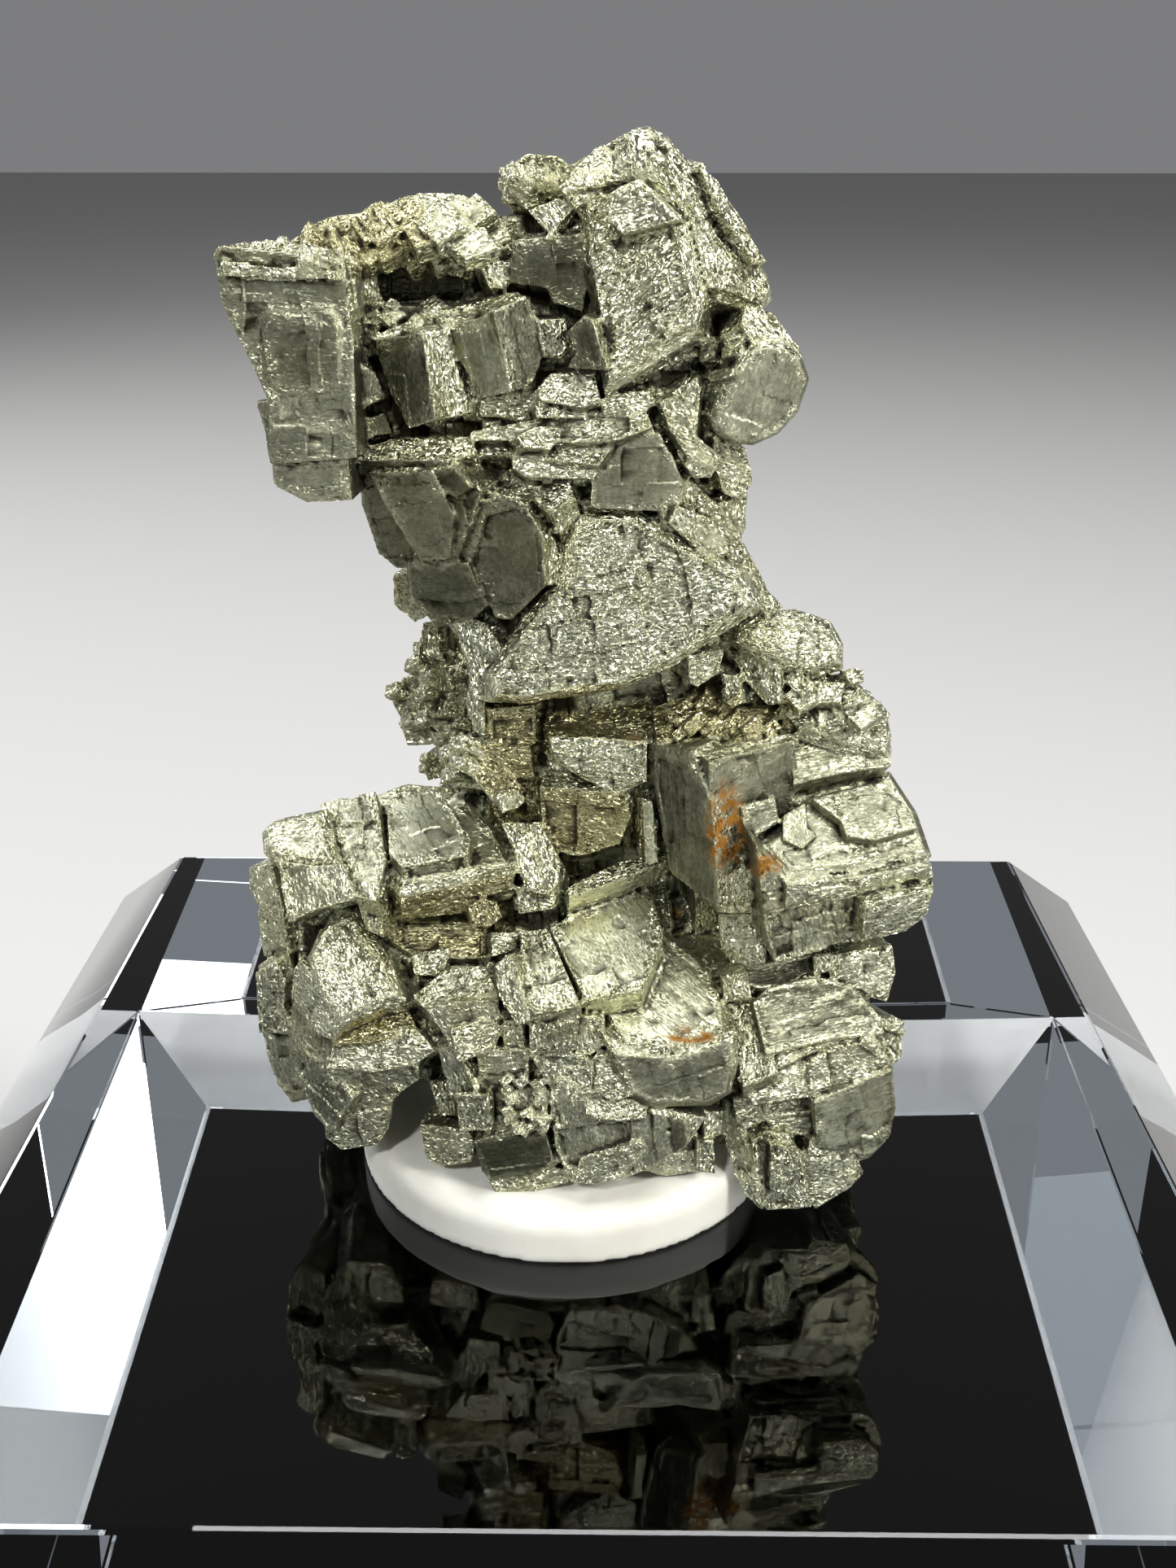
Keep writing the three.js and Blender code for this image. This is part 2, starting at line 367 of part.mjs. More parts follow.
/** Inner mass that ties every crystal together, from the putty to the top. */
function innerMass(rock) {
  rock.block([-1, -2, 7.2], [14, 14, 11.6], [8, 0, 0]);
  rock.block([-9.6, -2.6, 10], [10, 9, 8], [-12, 0, 6]);
  rock.block([8.4, -2.4, 8.4], [10, 11, 9.6], [14, 0, -6]);
  rock.block([0, 1.5, 13], [16, 10, 11], [10, 0, 4]);
  rock.block([8.6, 0.6, 19], [10, 9, 11], [18, 4, -5]);
  rock.block([-1, -0.5, 23.6], [7, 8, 8.6], [-8, 0, 0]);
  rock.block([-4.4, 2.6, 26], [5, 6, 9], [10, 0, 8]);
  rock.block([1.5, -1, 29], [10, 9, 10], [6, 0, -20]);
  rock.block([-1.8, -1, 35.5], [11, 10, 9], [-12, 4, 8]);
  rock.block([0, -1, 40.5], [11, 10, 8], [12, 0, -6]);
  rock.block([-8.4, -2.4, 41.5], [8, 8, 6.4], [-8, 0, 0]);
  rock.block([2.4, -1.6, 45.4], [7, 8, 8], [14, 0, -24]);
}

/** Crystals that finish the sides and the back, kept inside the outline seen from EYE. */
function backCrystals(rock) {
  const random = seeded(41);
  // Seen height, left and right limits of the outline there, and depth of the rock.
  const levels = [
    [12, -15, 14.4, 9],
    [17, -15, 14.8, 10],
    [23, -5.6, 13.6, 9],
    [28.5, -6.4, 9.6, 8.5],
    [34, -6.8, 6.8, 8.5],
    [39.5, -9, 6.6, 8.5],
    [44.6, -11.6, 6.4, 8],
  ];
  for (const [height, left, right, depth] of levels) {
    const count = right - left > 20 ? 4 : 3;
    for (let i = 0; i < count; i += 1) {
      const around = (14 + (152 * i) / (count - 1)) * RAD;
      const side = 5.4 + 1.8 * random();
      const middle = (left + right) / 2;
      const reach = (right - left) / 2 - side * 0.58;
      const y = -2.6 + depth * Math.sin(around);
      const away = (y - EYE.y) / (SIGHT_Y - EYE.y);
      const x = EYE.x + (middle + reach * Math.cos(around) - EYE.x) * away;
      const level = EYE.z + (height + 1.2 * random() - 0.6 - EYE.z) * away;
      const z = Math.max(level, PUTTY_HEIGHT + side * 0.75);
      const size = [side, side * (0.9 + 0.3 * random()), side * (0.85 + 0.3 * random())];
      const turn = [90 - around / RAD + 24 * random() - 12, 20 * random() - 10, 20 * random() - 10];
      rock.block([x, y, z], size, turn);
    }
  }
}

/** Low round disc of putty with a soft edge and a slightly uneven rim. */
function puttyDisc() {
  const around = 28;
  const rings = [
    [0, 0],
    [PUTTY_RADIUS - PUTTY_EDGE * 0.6, 0],
    [PUTTY_RADIUS, PUTTY_EDGE * 0.7],
    [PUTTY_RADIUS, PUTTY_HEIGHT - PUTTY_EDGE],
    [PUTTY_RADIUS - PUTTY_EDGE, PUTTY_HEIGHT],
    [0, PUTTY_HEIGHT],
  ];
  const profile = rings.map(([radius, height]) => new THREE.Vector2(radius, height));
  const geometry = weld(new THREE.LatheGeometry(profile, around));
  geometry.rotateX(90 * RAD);
  const spots = geometry.attributes.position;
  for (let i = 0; i < spots.count; i += 1) {
    const turn = Math.atan2(spots.getY(i), spots.getX(i));
    const swell = 1 + 0.008 * Math.sin(3 * turn + 0.6) + 0.005 * Math.sin(5 * turn);
    spots.setX(i, spots.getX(i) * swell);
    spots.setY(i, spots.getY(i) * swell);
  }
  geometry.translate(PUTTY_CENTRE[0], PUTTY_CENTRE[1], BLOCK_HEIGHT + PIECE_GAP);
  return geometry;
}

/** The putty hollowed where the cluster sinks into it, with a small gap all round. */
function hollowed(disc, cluster) {
  const top = BLOCK_HEIGHT + PUTTY_HEIGHT + 2 * PIECE_GAP;
  const foot = cluster.trimByPlane([0, 0, -1], -top);
  let putty = disc;
  for (const x of [-PIECE_GAP, PIECE_GAP]) {
    for (const y of [-PIECE_GAP, PIECE_GAP]) putty = putty.subtract(foot.translate([x, y, -PIECE_GAP]));
  }
  const shells = putty.simplify(MERGE_LENGTH).decompose();
  shells.sort((a, b) => b.volume() - a.volume());
  return shells[0];
}

/** Clear square block with wide 45 degree bevels round its top and bottom. */
function displayBlock() {
  const half = BLOCK_SIDE / 2;
  const square = new THREE.Shape([
    new THREE.Vector2(-half, -half),
    new THREE.Vector2(half, -half),
    new THREE.Vector2(half, half),
    new THREE.Vector2(-half, half),
  ]);
  const geometry = new THREE.ExtrudeGeometry(square, {
    depth: BLOCK_HEIGHT - 2 * BLOCK_BEVEL,
    steps: 1,
    bevelEnabled: true,
    bevelThickness: BLOCK_BEVEL,
    bevelSize: BLOCK_BEVEL,
    bevelOffset: -BLOCK_BEVEL,
    bevelSegments: 1,
  });
  geometry.translate(0, 0, BLOCK_BEVEL);
  return geometry;
}

const rock = new Cluster();
innerMass(rock);
backCrystals(rock);
upperLeft(rock);
upperRidge(rock);
upperRight(rock);
upperPlates(rock);
waist(rock);
waistLeft(rock);
rightShoulder(rock);
leftPlates(rock);
leftFront(rock);
lowerMiddle(rock);
lowerRight(rock);
const cluster = rock.joined();
const putty = hollowed(solid(puttyDisc()), cluster);

const object = new THREE.Group();
object.add(piece("pyrite_cluster", geometryOf(cluster), 0xb9ab7c, 0.38, 1));
object.add(piece("mounting_putty", geometryOf(putty), 0xf1eee2, 0.75, 0));
object.add(piece("display_block", displayBlock(), 0xdfeaf2, 0.05, 0));

export default object;
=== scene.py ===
"""Pyrite crystal cluster in a disc of mounting putty on a clear display block.

The cluster is worked in millimetres with heights from the top of the block, and is
turned into metres in the row frame once its shape is finished.
"""

import logging
import math
from dataclasses import dataclass, field
from enum import Enum

import bmesh
import bpy
import numpy as np
from mathutils import Euler, Matrix, Vector
from mathutils.bvhtree import BVHTree

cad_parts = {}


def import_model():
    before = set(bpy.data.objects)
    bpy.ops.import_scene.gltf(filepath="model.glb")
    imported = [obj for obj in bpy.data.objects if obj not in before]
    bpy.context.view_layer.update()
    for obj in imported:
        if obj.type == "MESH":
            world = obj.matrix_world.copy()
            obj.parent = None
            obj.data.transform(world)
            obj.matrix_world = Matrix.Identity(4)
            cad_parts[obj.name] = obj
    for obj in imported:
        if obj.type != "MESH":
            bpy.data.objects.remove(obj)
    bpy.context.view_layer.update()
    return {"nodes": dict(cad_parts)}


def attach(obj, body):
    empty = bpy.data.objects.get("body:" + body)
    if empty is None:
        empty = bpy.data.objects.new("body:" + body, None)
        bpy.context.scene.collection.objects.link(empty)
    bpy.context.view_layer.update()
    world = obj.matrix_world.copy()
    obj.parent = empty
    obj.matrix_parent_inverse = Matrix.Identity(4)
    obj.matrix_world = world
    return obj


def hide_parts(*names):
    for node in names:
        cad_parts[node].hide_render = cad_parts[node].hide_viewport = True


LOG = logging.getLogger("pyrite")
MM = 0.001
BLOCK_HEIGHT = 50.0
TINY = 1e-9


# ---------------------------------------------------------------- shared helpers

HASH_START = (40503, 9176)
HASH_AXES = (374761393, 668265263, 1442695041)
HASH_MIX = 1274126177
WORD = 0xFFFFFFFF
HALF_WORD = 0xFFFF


def lattice(seed: np.ndarray, *cell: np.ndarray) -> np.ndarray:
    """Repeatable random numbers from 0 to 1 for whole-number cells.

    Args:
        seed: whole number or array of them.
        cell: one array of whole numbers for each direction.

    Returns:
        One number for each cell.
    """
    scale, offset = HASH_START
    mixed = np.asarray(seed, np.int64) * scale + offset
    for factor, axis in zip(HASH_AXES, cell):
        mixed = mixed + axis.astype(np.int64) * factor
    mixed = mixed & WORD
    mixed = ((mixed ^ (mixed >> 13)) * HASH_MIX) & WORD
    return ((mixed ^ (mixed >> 16)) & HALF_WORD) / HALF_WORD


def eased(share: np.ndarray) -> np.ndarray:
    """Share from 0 to 1 with a soft start and end."""
    return share * share * (3 - 2 * share)


def smooth_step(low: float, high: float, value: np.ndarray) -> np.ndarray:
    """Changes softly from 0 at low to 1 at high, which may be the smaller of the two."""
    return eased(np.clip((value - low) / (high - low), 0, 1))


def noise(seed: np.ndarray, *place: np.ndarray) -> np.ndarray:
    """Smooth random field from 0 to 1 in one, two or three directions.

    Args:
        seed: whole number or array of them.
        place: one array of coordinates for each direction.

    Returns:
        The field's value at each place.
    """
    whole = [np.floor(axis) for axis in place]
    ease = [eased(axis - base) for axis, base in zip(place, whole)]
    total = np.zeros_like(place[0])
    for corner in range(2 ** len(place)):
        bits = [(corner >> k) & 1 for k in range(len(place))]
        weight = np.ones_like(place[0])
        for bit, t in zip(bits, ease):
            weight = weight * (t if bit else 1 - t)
        total += weight * lattice(seed, *[w + bit for w, bit in zip(whole, bits)])
    return total


@dataclass(frozen=True)
class Wave:
    """Smooth random field that swings about nothing."""

    seed: int
    scale: float
    swing: float

    def at(self, *place: np.ndarray) -> np.ndarray:
        """The field at places given as one array for each direction."""
        return (noise(self.seed, *(axis * self.scale for axis in place)) - 0.5) * self.swing


def row_dots(a: np.ndarray, b: np.ndarray) -> np.ndarray:
    """Dot product of each row of a with the same row of b."""
    return np.einsum("ij,ij->i", a, b)


def object_from(bm: bmesh.types.BMesh, name: str) -> bpy.types.Object:
    """Makes an object at the origin from a bmesh and frees the bmesh.

    Args:
        bm: the shape.
        name: name of the object and its mesh.

    Returns:
        The object, linked to the scene.
    """
    mesh = bpy.data.meshes.new(name)
    bm.to_mesh(mesh)
    bm.free()
    thing = bpy.data.objects.new(name, mesh)
    bpy.context.scene.collection.objects.link(thing)
    return thing


def coat(thing: bpy.types.Object, material: bpy.types.Material) -> None:
    """Gives an object one material."""
    thing.data.materials.clear()
    thing.data.materials.append(material)


def in_order(bm: bmesh.types.BMesh) -> None:
    """Sorts the faces and where each starts, so that every run gives the same order.

    Args:
        bm: the shape, which is built again from its points and faces.
    """
    bm.verts.index_update()
    places = [v.co[:] for v in bm.verts]
    faces = []
    for face in bm.faces:
        ring = [v.index for v in face.verts]
        first = ring.index(min(ring))
        faces.append(ring[first:] + ring[:first])
    mesh = bpy.data.meshes.new("ordered")
    mesh.from_pydata(places, [], sorted(faces))
    bm.clear()
    bm.from_mesh(mesh)
    bm.normal_update()
    bpy.data.meshes.remove(mesh)


def settle(thing: bpy.types.Object) -> None:
    """Applies an object's modifiers to its mesh.

    Args:
        thing: the object, left with no modifiers.
    """
    graph = bpy.context.evaluated_depsgraph_get()
    mesh = bpy.data.meshes.new_from_object(thing.evaluated_get(graph))
    thing.modifiers.clear()
    old = thing.data
    thing.data = mesh
    bpy.data.meshes.remove(old)


def remesh(thing: bpy.types.Object, voxel: float) -> None:
    """Makes an object one skin of even small faces.

    Args:
        thing: the object, in any units.
        voxel: size of the faces, in those units.
    """
    grid = thing.modifiers.new("skin", "REMESH")
    grid.mode = "VOXEL"
    grid.voxel_size = voxel
    settle(thing)


def read_points(mesh: bpy.types.Mesh, key: str) -> np.ndarray:
    """Three numbers that a mesh holds for each point.

    Args:
        mesh: the mesh.
        key: which of the points' values is read.

    Returns:
        One row for each point.
    """
    flat = np.empty(len(mesh.vertices) * 3)
    mesh.vertices.foreach_get(key, flat)
    return flat.reshape(-1, 3)


def coordinates(mesh: bpy.types.Mesh) -> np.ndarray:
    """Points of a mesh, one row each."""
    return read_points(mesh, "co")


def normals(mesh: bpy.types.Mesh) -> np.ndarray:
    """Point normals of a mesh, one row each."""
    return read_points(mesh, "normal")


def set_coordinates(mesh: bpy.types.Mesh, points: np.ndarray) -> None:
    """Moves the points of a mesh."""
    mesh.vertices.foreach_set("co", points.astype(np.float32).ravel())
    mesh.update()


def relaxed(mesh: bpy.types.Mesh, points: np.ndarray, rounds: int) -> np.ndarray:
    """Points after each has moved to the middle of its neighbours.

    Args:
        mesh: mesh whose edges join the points.
        points: one row for each point.
        rounds: how many times the points move.

    Returns:
        The new points.
    """
    pairs = np.empty(len(mesh.edges) * 2, np.int64)
    mesh.edges.foreach_get("vertices", pairs)
    a, b = pairs.reshape(-1, 2).T
    count = len(points)
    valence = np.maximum(np.bincount(a, minlength=count) + np.bincount(b, minlength=count), 1)
    for _ in range(rounds):
        sums = [
            np.bincount(a, points[b, axis], count) + np.bincount(b, points[a, axis], count)
            for axis in range(3)
        ]
        points = np.stack(sums, axis=1) / valence[:, None]
    return points


def put_values(mesh: bpy.types.Mesh, name: str, values: np.ndarray) -> None:
    """Stores one number for each point of a mesh."""
    layer = mesh.attributes.new(name, "FLOAT", "POINT")
    layer.data.foreach_set("value", values.astype(np.float32))


def put_vectors(mesh: bpy.types.Mesh, name: str, values: np.ndarray) -> None:
    """Stores one vector for each point of a mesh."""
    layer = mesh.attributes.new(name, "FLOAT_VECTOR", "POINT")
    layer.data.foreach_set("vector", values.astype(np.float32).ravel())


# ---------------------------------------------------------------- node helpers


@dataclass
class Shader:
    """A node material with short calls for its nodes.

    Where a call takes an object, it may be an output socket or a plain value.
    """

    name: str
    material: bpy.types.Material = field(init=False)
    surface: bpy.types.Node = field(init=False)

    def __post_init__(self) -> None:
        """Makes the material with its Principled shader."""
        self.material = bpy.data.materials.new(self.name)
        self.material.use_nodes = True
        self.surface = self.material.node_tree.nodes["Principled BSDF"]

    def feed(self, node: bpy.types.Node, inputs: dict) -> None:
        """Links sockets to a node's inputs and sets plain values on them.

        Args:
            node: the node.
            inputs: socket or value for each input, by its name or number.
        """
        for key, value in inputs.items():
            if isinstance(value, bpy.types.NodeSocket):
                self.material.node_tree.links.new(value, node.inputs[key])
            else:
                node.inputs[key].default_value = value

    def node(self, kind: str, inputs: dict, **settings: object) -> bpy.types.Node:
        """Adds a node.

        Args:
            kind: the node's type.
            inputs: socket or value for each input, by its name or number.
            settings: the node's properties.

        Returns:
            The node.
        """
        made = self.material.node_tree.nodes.new(kind)
        for key, value in settings.items():
            setattr(made, key, value)
        self.feed(made, inputs)
        return made

    def math(self, operation: str, a: object, b: object = 0.0) -> bpy.types.NodeSocket:
        """Result of a Math node."""
        return self.node("ShaderNodeMath", {0: a, 1: b}, operation=operation).outputs[0]

    def vector(self, operation: str, a: object, b: object = (0, 0, 0)) -> bpy.types.NodeSocket:
        """Result of a Vector Math node, whose b is a factor where it scales."""
        second = "Scale" if operation == "SCALE" else 1
        return self.node("ShaderNodeVectorMath", {0: a, second: b}, operation=operation).outputs[0]

    def mix(self, share: object, a: object, b: object) -> bpy.types.NodeSocket:
        """Colour between a and b."""
        return self.node("ShaderNodeMix", {0: share, 6: a, 7: b}, data_type="RGBA").outputs[2]

    def ramp(self, value: object, low: float, high: float, to_low: float = 0.0,
             to_high: float = 1.0) -> bpy.types.NodeSocket:
        """Value carried from one range to another."""
        ends = {"From Min": low, "From Max": high, "To Min": to_low, "To Max": to_high}
        return self.node("ShaderNodeMapRange", {"Value": value, **ends}).outputs[0]

    def place(self) -> bpy.types.NodeSocket:
        """Object coordinates."""
        return self.node("ShaderNodeTexCoord", {}).outputs["Object"]

    def facing(self) -> bpy.types.NodeSocket:
        """Normal of the mesh."""
        return self.node("ShaderNodeNewGeometry", {}).outputs["Normal"]

    def stored(self, name: str, socket: str = "Fac") -> bpy.types.NodeSocket:
        """Value stored on the mesh."""
        return self.node("ShaderNodeAttribute", {}, attribute_name=name).outputs[socket]

    def noise(self, place: object, scale: float, detail: float = 2.0,
              roughness: float = 0.5) -> bpy.types.NodeSocket:
        """Noise texture value."""
        inputs = {"Vector": place, "Scale": scale, "Detail": detail, "Roughness": roughness}
        return self.node("ShaderNodeTexNoise", inputs).outputs["Fac"]

    def bump(self, height: object, strength: float, distance: float,
             normal: object = None) -> bpy.types.NodeSocket:
        """Normal bent by a height.

        Args:
            height: the height, from 0 to 1.
            strength: share of the bend that is used.
            distance: depth that a height of 1 stands for, in metres.
            normal: normal that is bent, or None for the mesh's own.

        Returns:
            The bent normal.
        """
        inputs = {"Strength": strength, "Distance": distance, "Height": height}
        if normal is not None:
            inputs["Normal"] = normal
        return self.node("ShaderNodeBump", inputs).outputs[0]


# ---------------------------------------------------------------- finishes


@dataclass(frozen=True)
class PyriteFinish:
    """Pale brassy metal with foil sparkle, dull grey faces, gold recesses and rust.

    A scale is a number of pattern cells in a metre, or in a millimetre for the flakes,
    spangles and lines, which follow the grain stored on the mesh. A depth is in metres,
    and a bump is the share of it that is used. gloss is given without rust and under
    full rust, and a lean or hair_share for no foil and for full foil. Light and shade are
    painted in as well: the grey of dim faces is partly painted shade, the hairs carry
    painted glints, and crevice_shade darkens joints, gaps and hollows with painted shade.
    """

    bright: tuple = (0.595, 0.612, 0.448, 1)
    # colour at tone 0: the grey of dim faces, partly their tarnish and partly painted shade
    grey: tuple = (0.078, 0.081, 0.052, 1)
    gold: tuple = (0.38, 0.335, 0.155, 1)
    shade: tuple = (0.008, 0.006, 0.002, 1)
    rust: tuple = (0.25, 0.108, 0.010, 1)
    gold_share: float = 0.6
    shade_share: float = 0.95
    rust_share: float = 0.95
    rust_scale: float = 1900
    rust_spread: tuple = (0.34, 0.54)
    rust_metal_loss: float = 0.7
    gloss: tuple = (0.5, 0.05)
    smooth: float = 0.27
    dull: float = 0.42
    lost_roughness: float = 0.3
    blotch_scale: float = 700
    blotch_spread: tuple = (0.3, 0.7)
    blotch_tone: float = 0.16
    speck_scale: float = 5200
    speck_spread: tuple = (0.35, 0.65)
    speck_tone: float = 0.12
    uneven_on_dark: float = 0.3
    hair_scales: tuple = (1300, 2100)
    hair_width: tuple = (0.012, 0.045)
    hair_share: tuple = (0.06, 1)
    hair_glint_tone: float = 0.38
    hair_bump: float = 0.8
    hair_depth: float = 0.00006
    swirl_scale: float = 1400
    swirl_share: float = 0.4
    flake_shape: tuple = (0.45, 1.25, 1)
    flake_scale: float = 6.0
    flake_lean: tuple = (0.01, 0.50)
    spangle_scale: float = 12.0
    spangle_gain: tuple = (8, 8, 8)
    spangle_lean: tuple = (0.14, 1.1)
    line_shape: tuple = (0.35, 2.6, 1)
    line_scale: float = 1.6
    line_bump: float = 0.35
    line_depth: float = 0.00010
    pock_scale: float = 2600
    pock_bump: float = 0.4
    pock_depth: float = 0.00006

    def uneven(self, s: Shader, place: object) -> bpy.types.NodeSocket:
        """Blotches and specks in the brightness, fainter on dark faces.

        Args:
            s: the material's shader.
            place: object coordinates.

        Returns:
            What is added to the tone.
        """
        blotch = s.noise(place, self.blotch_scale, 4, 0.6)
        speck = s.noise(place, self.speck_scale, 2, 0.6)
        blotch = s.ramp(blotch, *self.blotch_spread, -self.blotch_tone, self.blotch_tone)
        speck = s.ramp(speck, *self.speck_spread, -self.speck_tone, self.speck_tone)
        share = s.ramp(s.stored("tone"), 0, 0.5, self.uneven_on_dark, 1)
        return s.math("MULTIPLY", s.math("ADD", blotch, speck), share)

    def hairs(self, s: Shader, place: object, foil: object) -> bpy.types.NodeSocket:
        """Thin curved lines like the edges of crumpled foil, bumped into the normal and lightened as painted
        glints.

        Args:
            s: the material's shader.
            place: object coordinates.
            foil: how foil-like the face is.

        Returns:
            1 on a line and 0 beside it, less on faces that aren't foil-like.
        """
        sets = []
        for scale in self.hair_scales:
            away = s.math("ABSOLUTE", s.math("SUBTRACT", s.noise(place, scale, 1.5), 0.5))
            sets.append(s.ramp(away, *self.hair_width, 1, 0))
        return s.math("MULTIPLY", s.math("MAXIMUM", *sets), s.ramp(foil, 0.1, 1, *self.hair_share))

    def colour(self, s: Shader, place: object, hairs: object) -> bpy.types.NodeSocket:
        """Colour of the metal from tone and gold, with painted glints and painted shade in joints.

        Args:
            s: the material's shader.
            place: object coordinates.
            hairs: the thin lines.

        Returns:
            The colour without rust.
        """
        # painted glints: the hairs lighten the tone along their lines
        extra = s.math("ADD", self.uneven(s, place), s.math("MULTIPLY", hairs, self.hair_glint_tone))
        level = s.math("ADD", s.stored("tone"), extra)
        colour = s.mix(s.ramp(level, 0, 1), self.grey, self.bright)
        colour = s.mix(s.math("MULTIPLY", s.stored("gold"), self.gold_share), colour, self.gold)
        # painted shade: near black is mixed in where crevice_shade marks joints, gap rock and hollows
        return s.mix(s.math("MULTIPLY", s.stored("crevice_shade"), self.shade_share), colour, self.shade)

    def rusty(self, s: Shader, place: object) -> bpy.types.NodeSocket:
        """How rusty each place is."""
        crust = s.ramp(s.noise(place, self.rust_scale, 3), *self.rust_spread, 0, self.rust_share)
        return s.math("MULTIPLY", s.stored("rust"), crust)

    def roughness(self, s: Shader, foil: object, rusty: object) -> bpy.types.NodeSocket:
        """Smoother on foil, rougher on rust and where shade is painted into the joints.

        Args:
            s: the material's shader.
            foil: how foil-like the face is.
            rusty: how rusty it is.

        Returns:
            The roughness.
        """
        lost = s.math("MAXIMUM", rusty, s.stored("crevice_shade"))
        rough = s.ramp(foil, 0, 0.8, self.dull, self.smooth)
        return s.math("ADD", rough, s.math("MULTIPLY", lost, self.lost_roughness))

    def leaned(self, s: Shader, normal: object, away: object, lean: object) -> bpy.types.NodeSocket:
        """Normal leaned by a share, lean, of the vector away."""
        return s.vector("NORMALIZE", s.vector("ADD", normal, s.vector("SCALE", away, lean)))

    def cells(self, s: Shader, place: object, scale: float) -> bpy.types.NodeSocket:
        """One random vector for each small cell, with parts from -0.5 to 0.5."""
        made = s.node("ShaderNodeTexVoronoi", {"Vector": place, "Scale": scale})
        return s.vector("SUBTRACT", made.outputs["Color"], (0.5, 0.5, 0.5))

    def normal(self, s: Shader, place: object, foil: object, hairs: object) -> bpy.types.NodeSocket:
        """Normal with flakes, rare strong spangles, hairs, growth lines and pocks.

        Args:
            s: the material's shader.
            place: object coordinates.
            foil: how foil-like the face is.
            hairs: the thin lines.

        Returns:
            The bent normal.
        """
        grain = s.stored("grain", "Vector")
        swirl = s.node("ShaderNodeTexNoise", {"Vector": place, "Scale": self.swirl_scale})
        swirled = s.vector("ADD", grain, s.vector("SCALE", swirl.outputs["Color"], self.swirl_share))
        flakes = s.vector("MULTIPLY", swirled, self.flake_shape)
        away = self.cells(s, flakes, self.flake_scale)
        bent = self.leaned(s, s.facing(), away, s.ramp(foil, 0, 1, *self.flake_lean))
        away = self.cells(s, flakes, self.spangle_scale)
        cubed = s.vector("MULTIPLY", away, s.vector("MULTIPLY", away, away))
        rare = s.vector("MULTIPLY", cubed, self.spangle_gain)
        bent = self.leaned(s, bent, rare, s.ramp(foil, 0.05, 1, *self.spangle_lean))
        bent = s.bump(hairs, self.hair_bump, self.hair_depth, bent)
        lines = s.noise(s.vector("MULTIPLY", grain, self.line_shape), self.line_scale, 3, 0.6)
        bent = s.bump(lines, self.line_bump, self.line_depth, bent)
        pocks = s.noise(place, self.pock_scale, 4, 0.65)
        return s.bump(pocks, self.pock_bump, self.pock_depth, bent)

    def material(self) -> bpy.types.Material:
        """Makes the material.

        Returns:
            The finished material.
        """
        s = Shader("pyrite")
        place = s.place()
        foil = s.stored("foil")
        hairs = self.hairs(s, place, foil)
        rusty = self.rusty(s, place)
        s.feed(s.surface, {
            "Base Color": s.mix(rusty, self.colour(s, place, hairs), self.rust),
            "Metallic": s.math("SUBTRACT", 1.0, s.math("MULTIPLY", rusty, self.rust_metal_loss)),
            "Specular IOR Level": s.ramp(rusty, 0, 1, *self.gloss),
            "Roughness": self.roughness(s, foil, rusty),
            "Normal": self.normal(s, place, foil, hairs),
        })
        return s.material


@dataclass(frozen=True)
class PuttyFinish:
    """Matte cream-white putty."""

    colour: tuple = (0.60, 0.605, 0.555, 1)
    worn: tuple = (0.54, 0.53, 0.465, 1)
    stain_scale: float = 260
    stain_spread: tuple = (0.4, 0.75)
    grain_scale: float = 700
    grain_bump: float = 0.3
    grain_depth: float = 0.00012
    roughness: float = 0.62
    glow: float = 0.15
    glow_reach: tuple = (0.002, 0.0016, 0.001)

    def material(self) -> bpy.types.Material:
        """Makes the material.

        Returns:
            The finished material.
        """
        s = Shader("putty")
        place = s.place()
        stain = s.ramp(s.noise(place, self.stain_scale, 3), *self.stain_spread)
        grain = s.noise(place, self.grain_scale, 3)
        s.feed(s.surface, {
            "Base Color": s.mix(stain, self.colour, self.worn),
            "Roughness": self.roughness,
            "Subsurface Weight": self.glow,
            "Subsurface Radius": self.glow_reach,
            "Normal": s.bump(grain, self.grain_bump, self.grain_depth),
        })
        return s.material


@dataclass(frozen=True)
class ClearFinish:
    """Polished clear plastic with a faint cool tint in its depth."""

    ior: float = 1.49
    tint: tuple = (0.90, 0.955, 1.0, 1)
    density: float = 12.0

    def material(self) -> bpy.types.Material:
        """Makes the material.

        Returns:
            The finished material.
        """
        s = Shader("clear_plastic")
        s.feed(s.surface, {
            "Base Color": (1, 1, 1, 1),
            "Roughness": 0.0,
            "IOR": self.ior,
            "Transmission Weight": 1.0,
        })
        depth = s.node("ShaderNodeVolumeAbsorption", {"Color": self.tint, "Density": self.density})
        s.feed(s.material.node_tree.nodes["Material Output"], {"Volume": depth.outputs[0]})
        return s.material


@dataclass(frozen=True)
class FloorFinish:
    """Plain pale matte floor."""

    colour: tuple = (0.38, 0.38, 0.375, 1)
    roughness: float = 0.7

    def material(self) -> bpy.types.Material:
        """Makes the material.

        Returns:
            The finished material.
        """
        s = Shader("floor")
        s.feed(s.surface, {"Base Color": self.colour, "Roughness": self.roughness})
        return s.material


# ---------------------------------------------------------------- the cluster


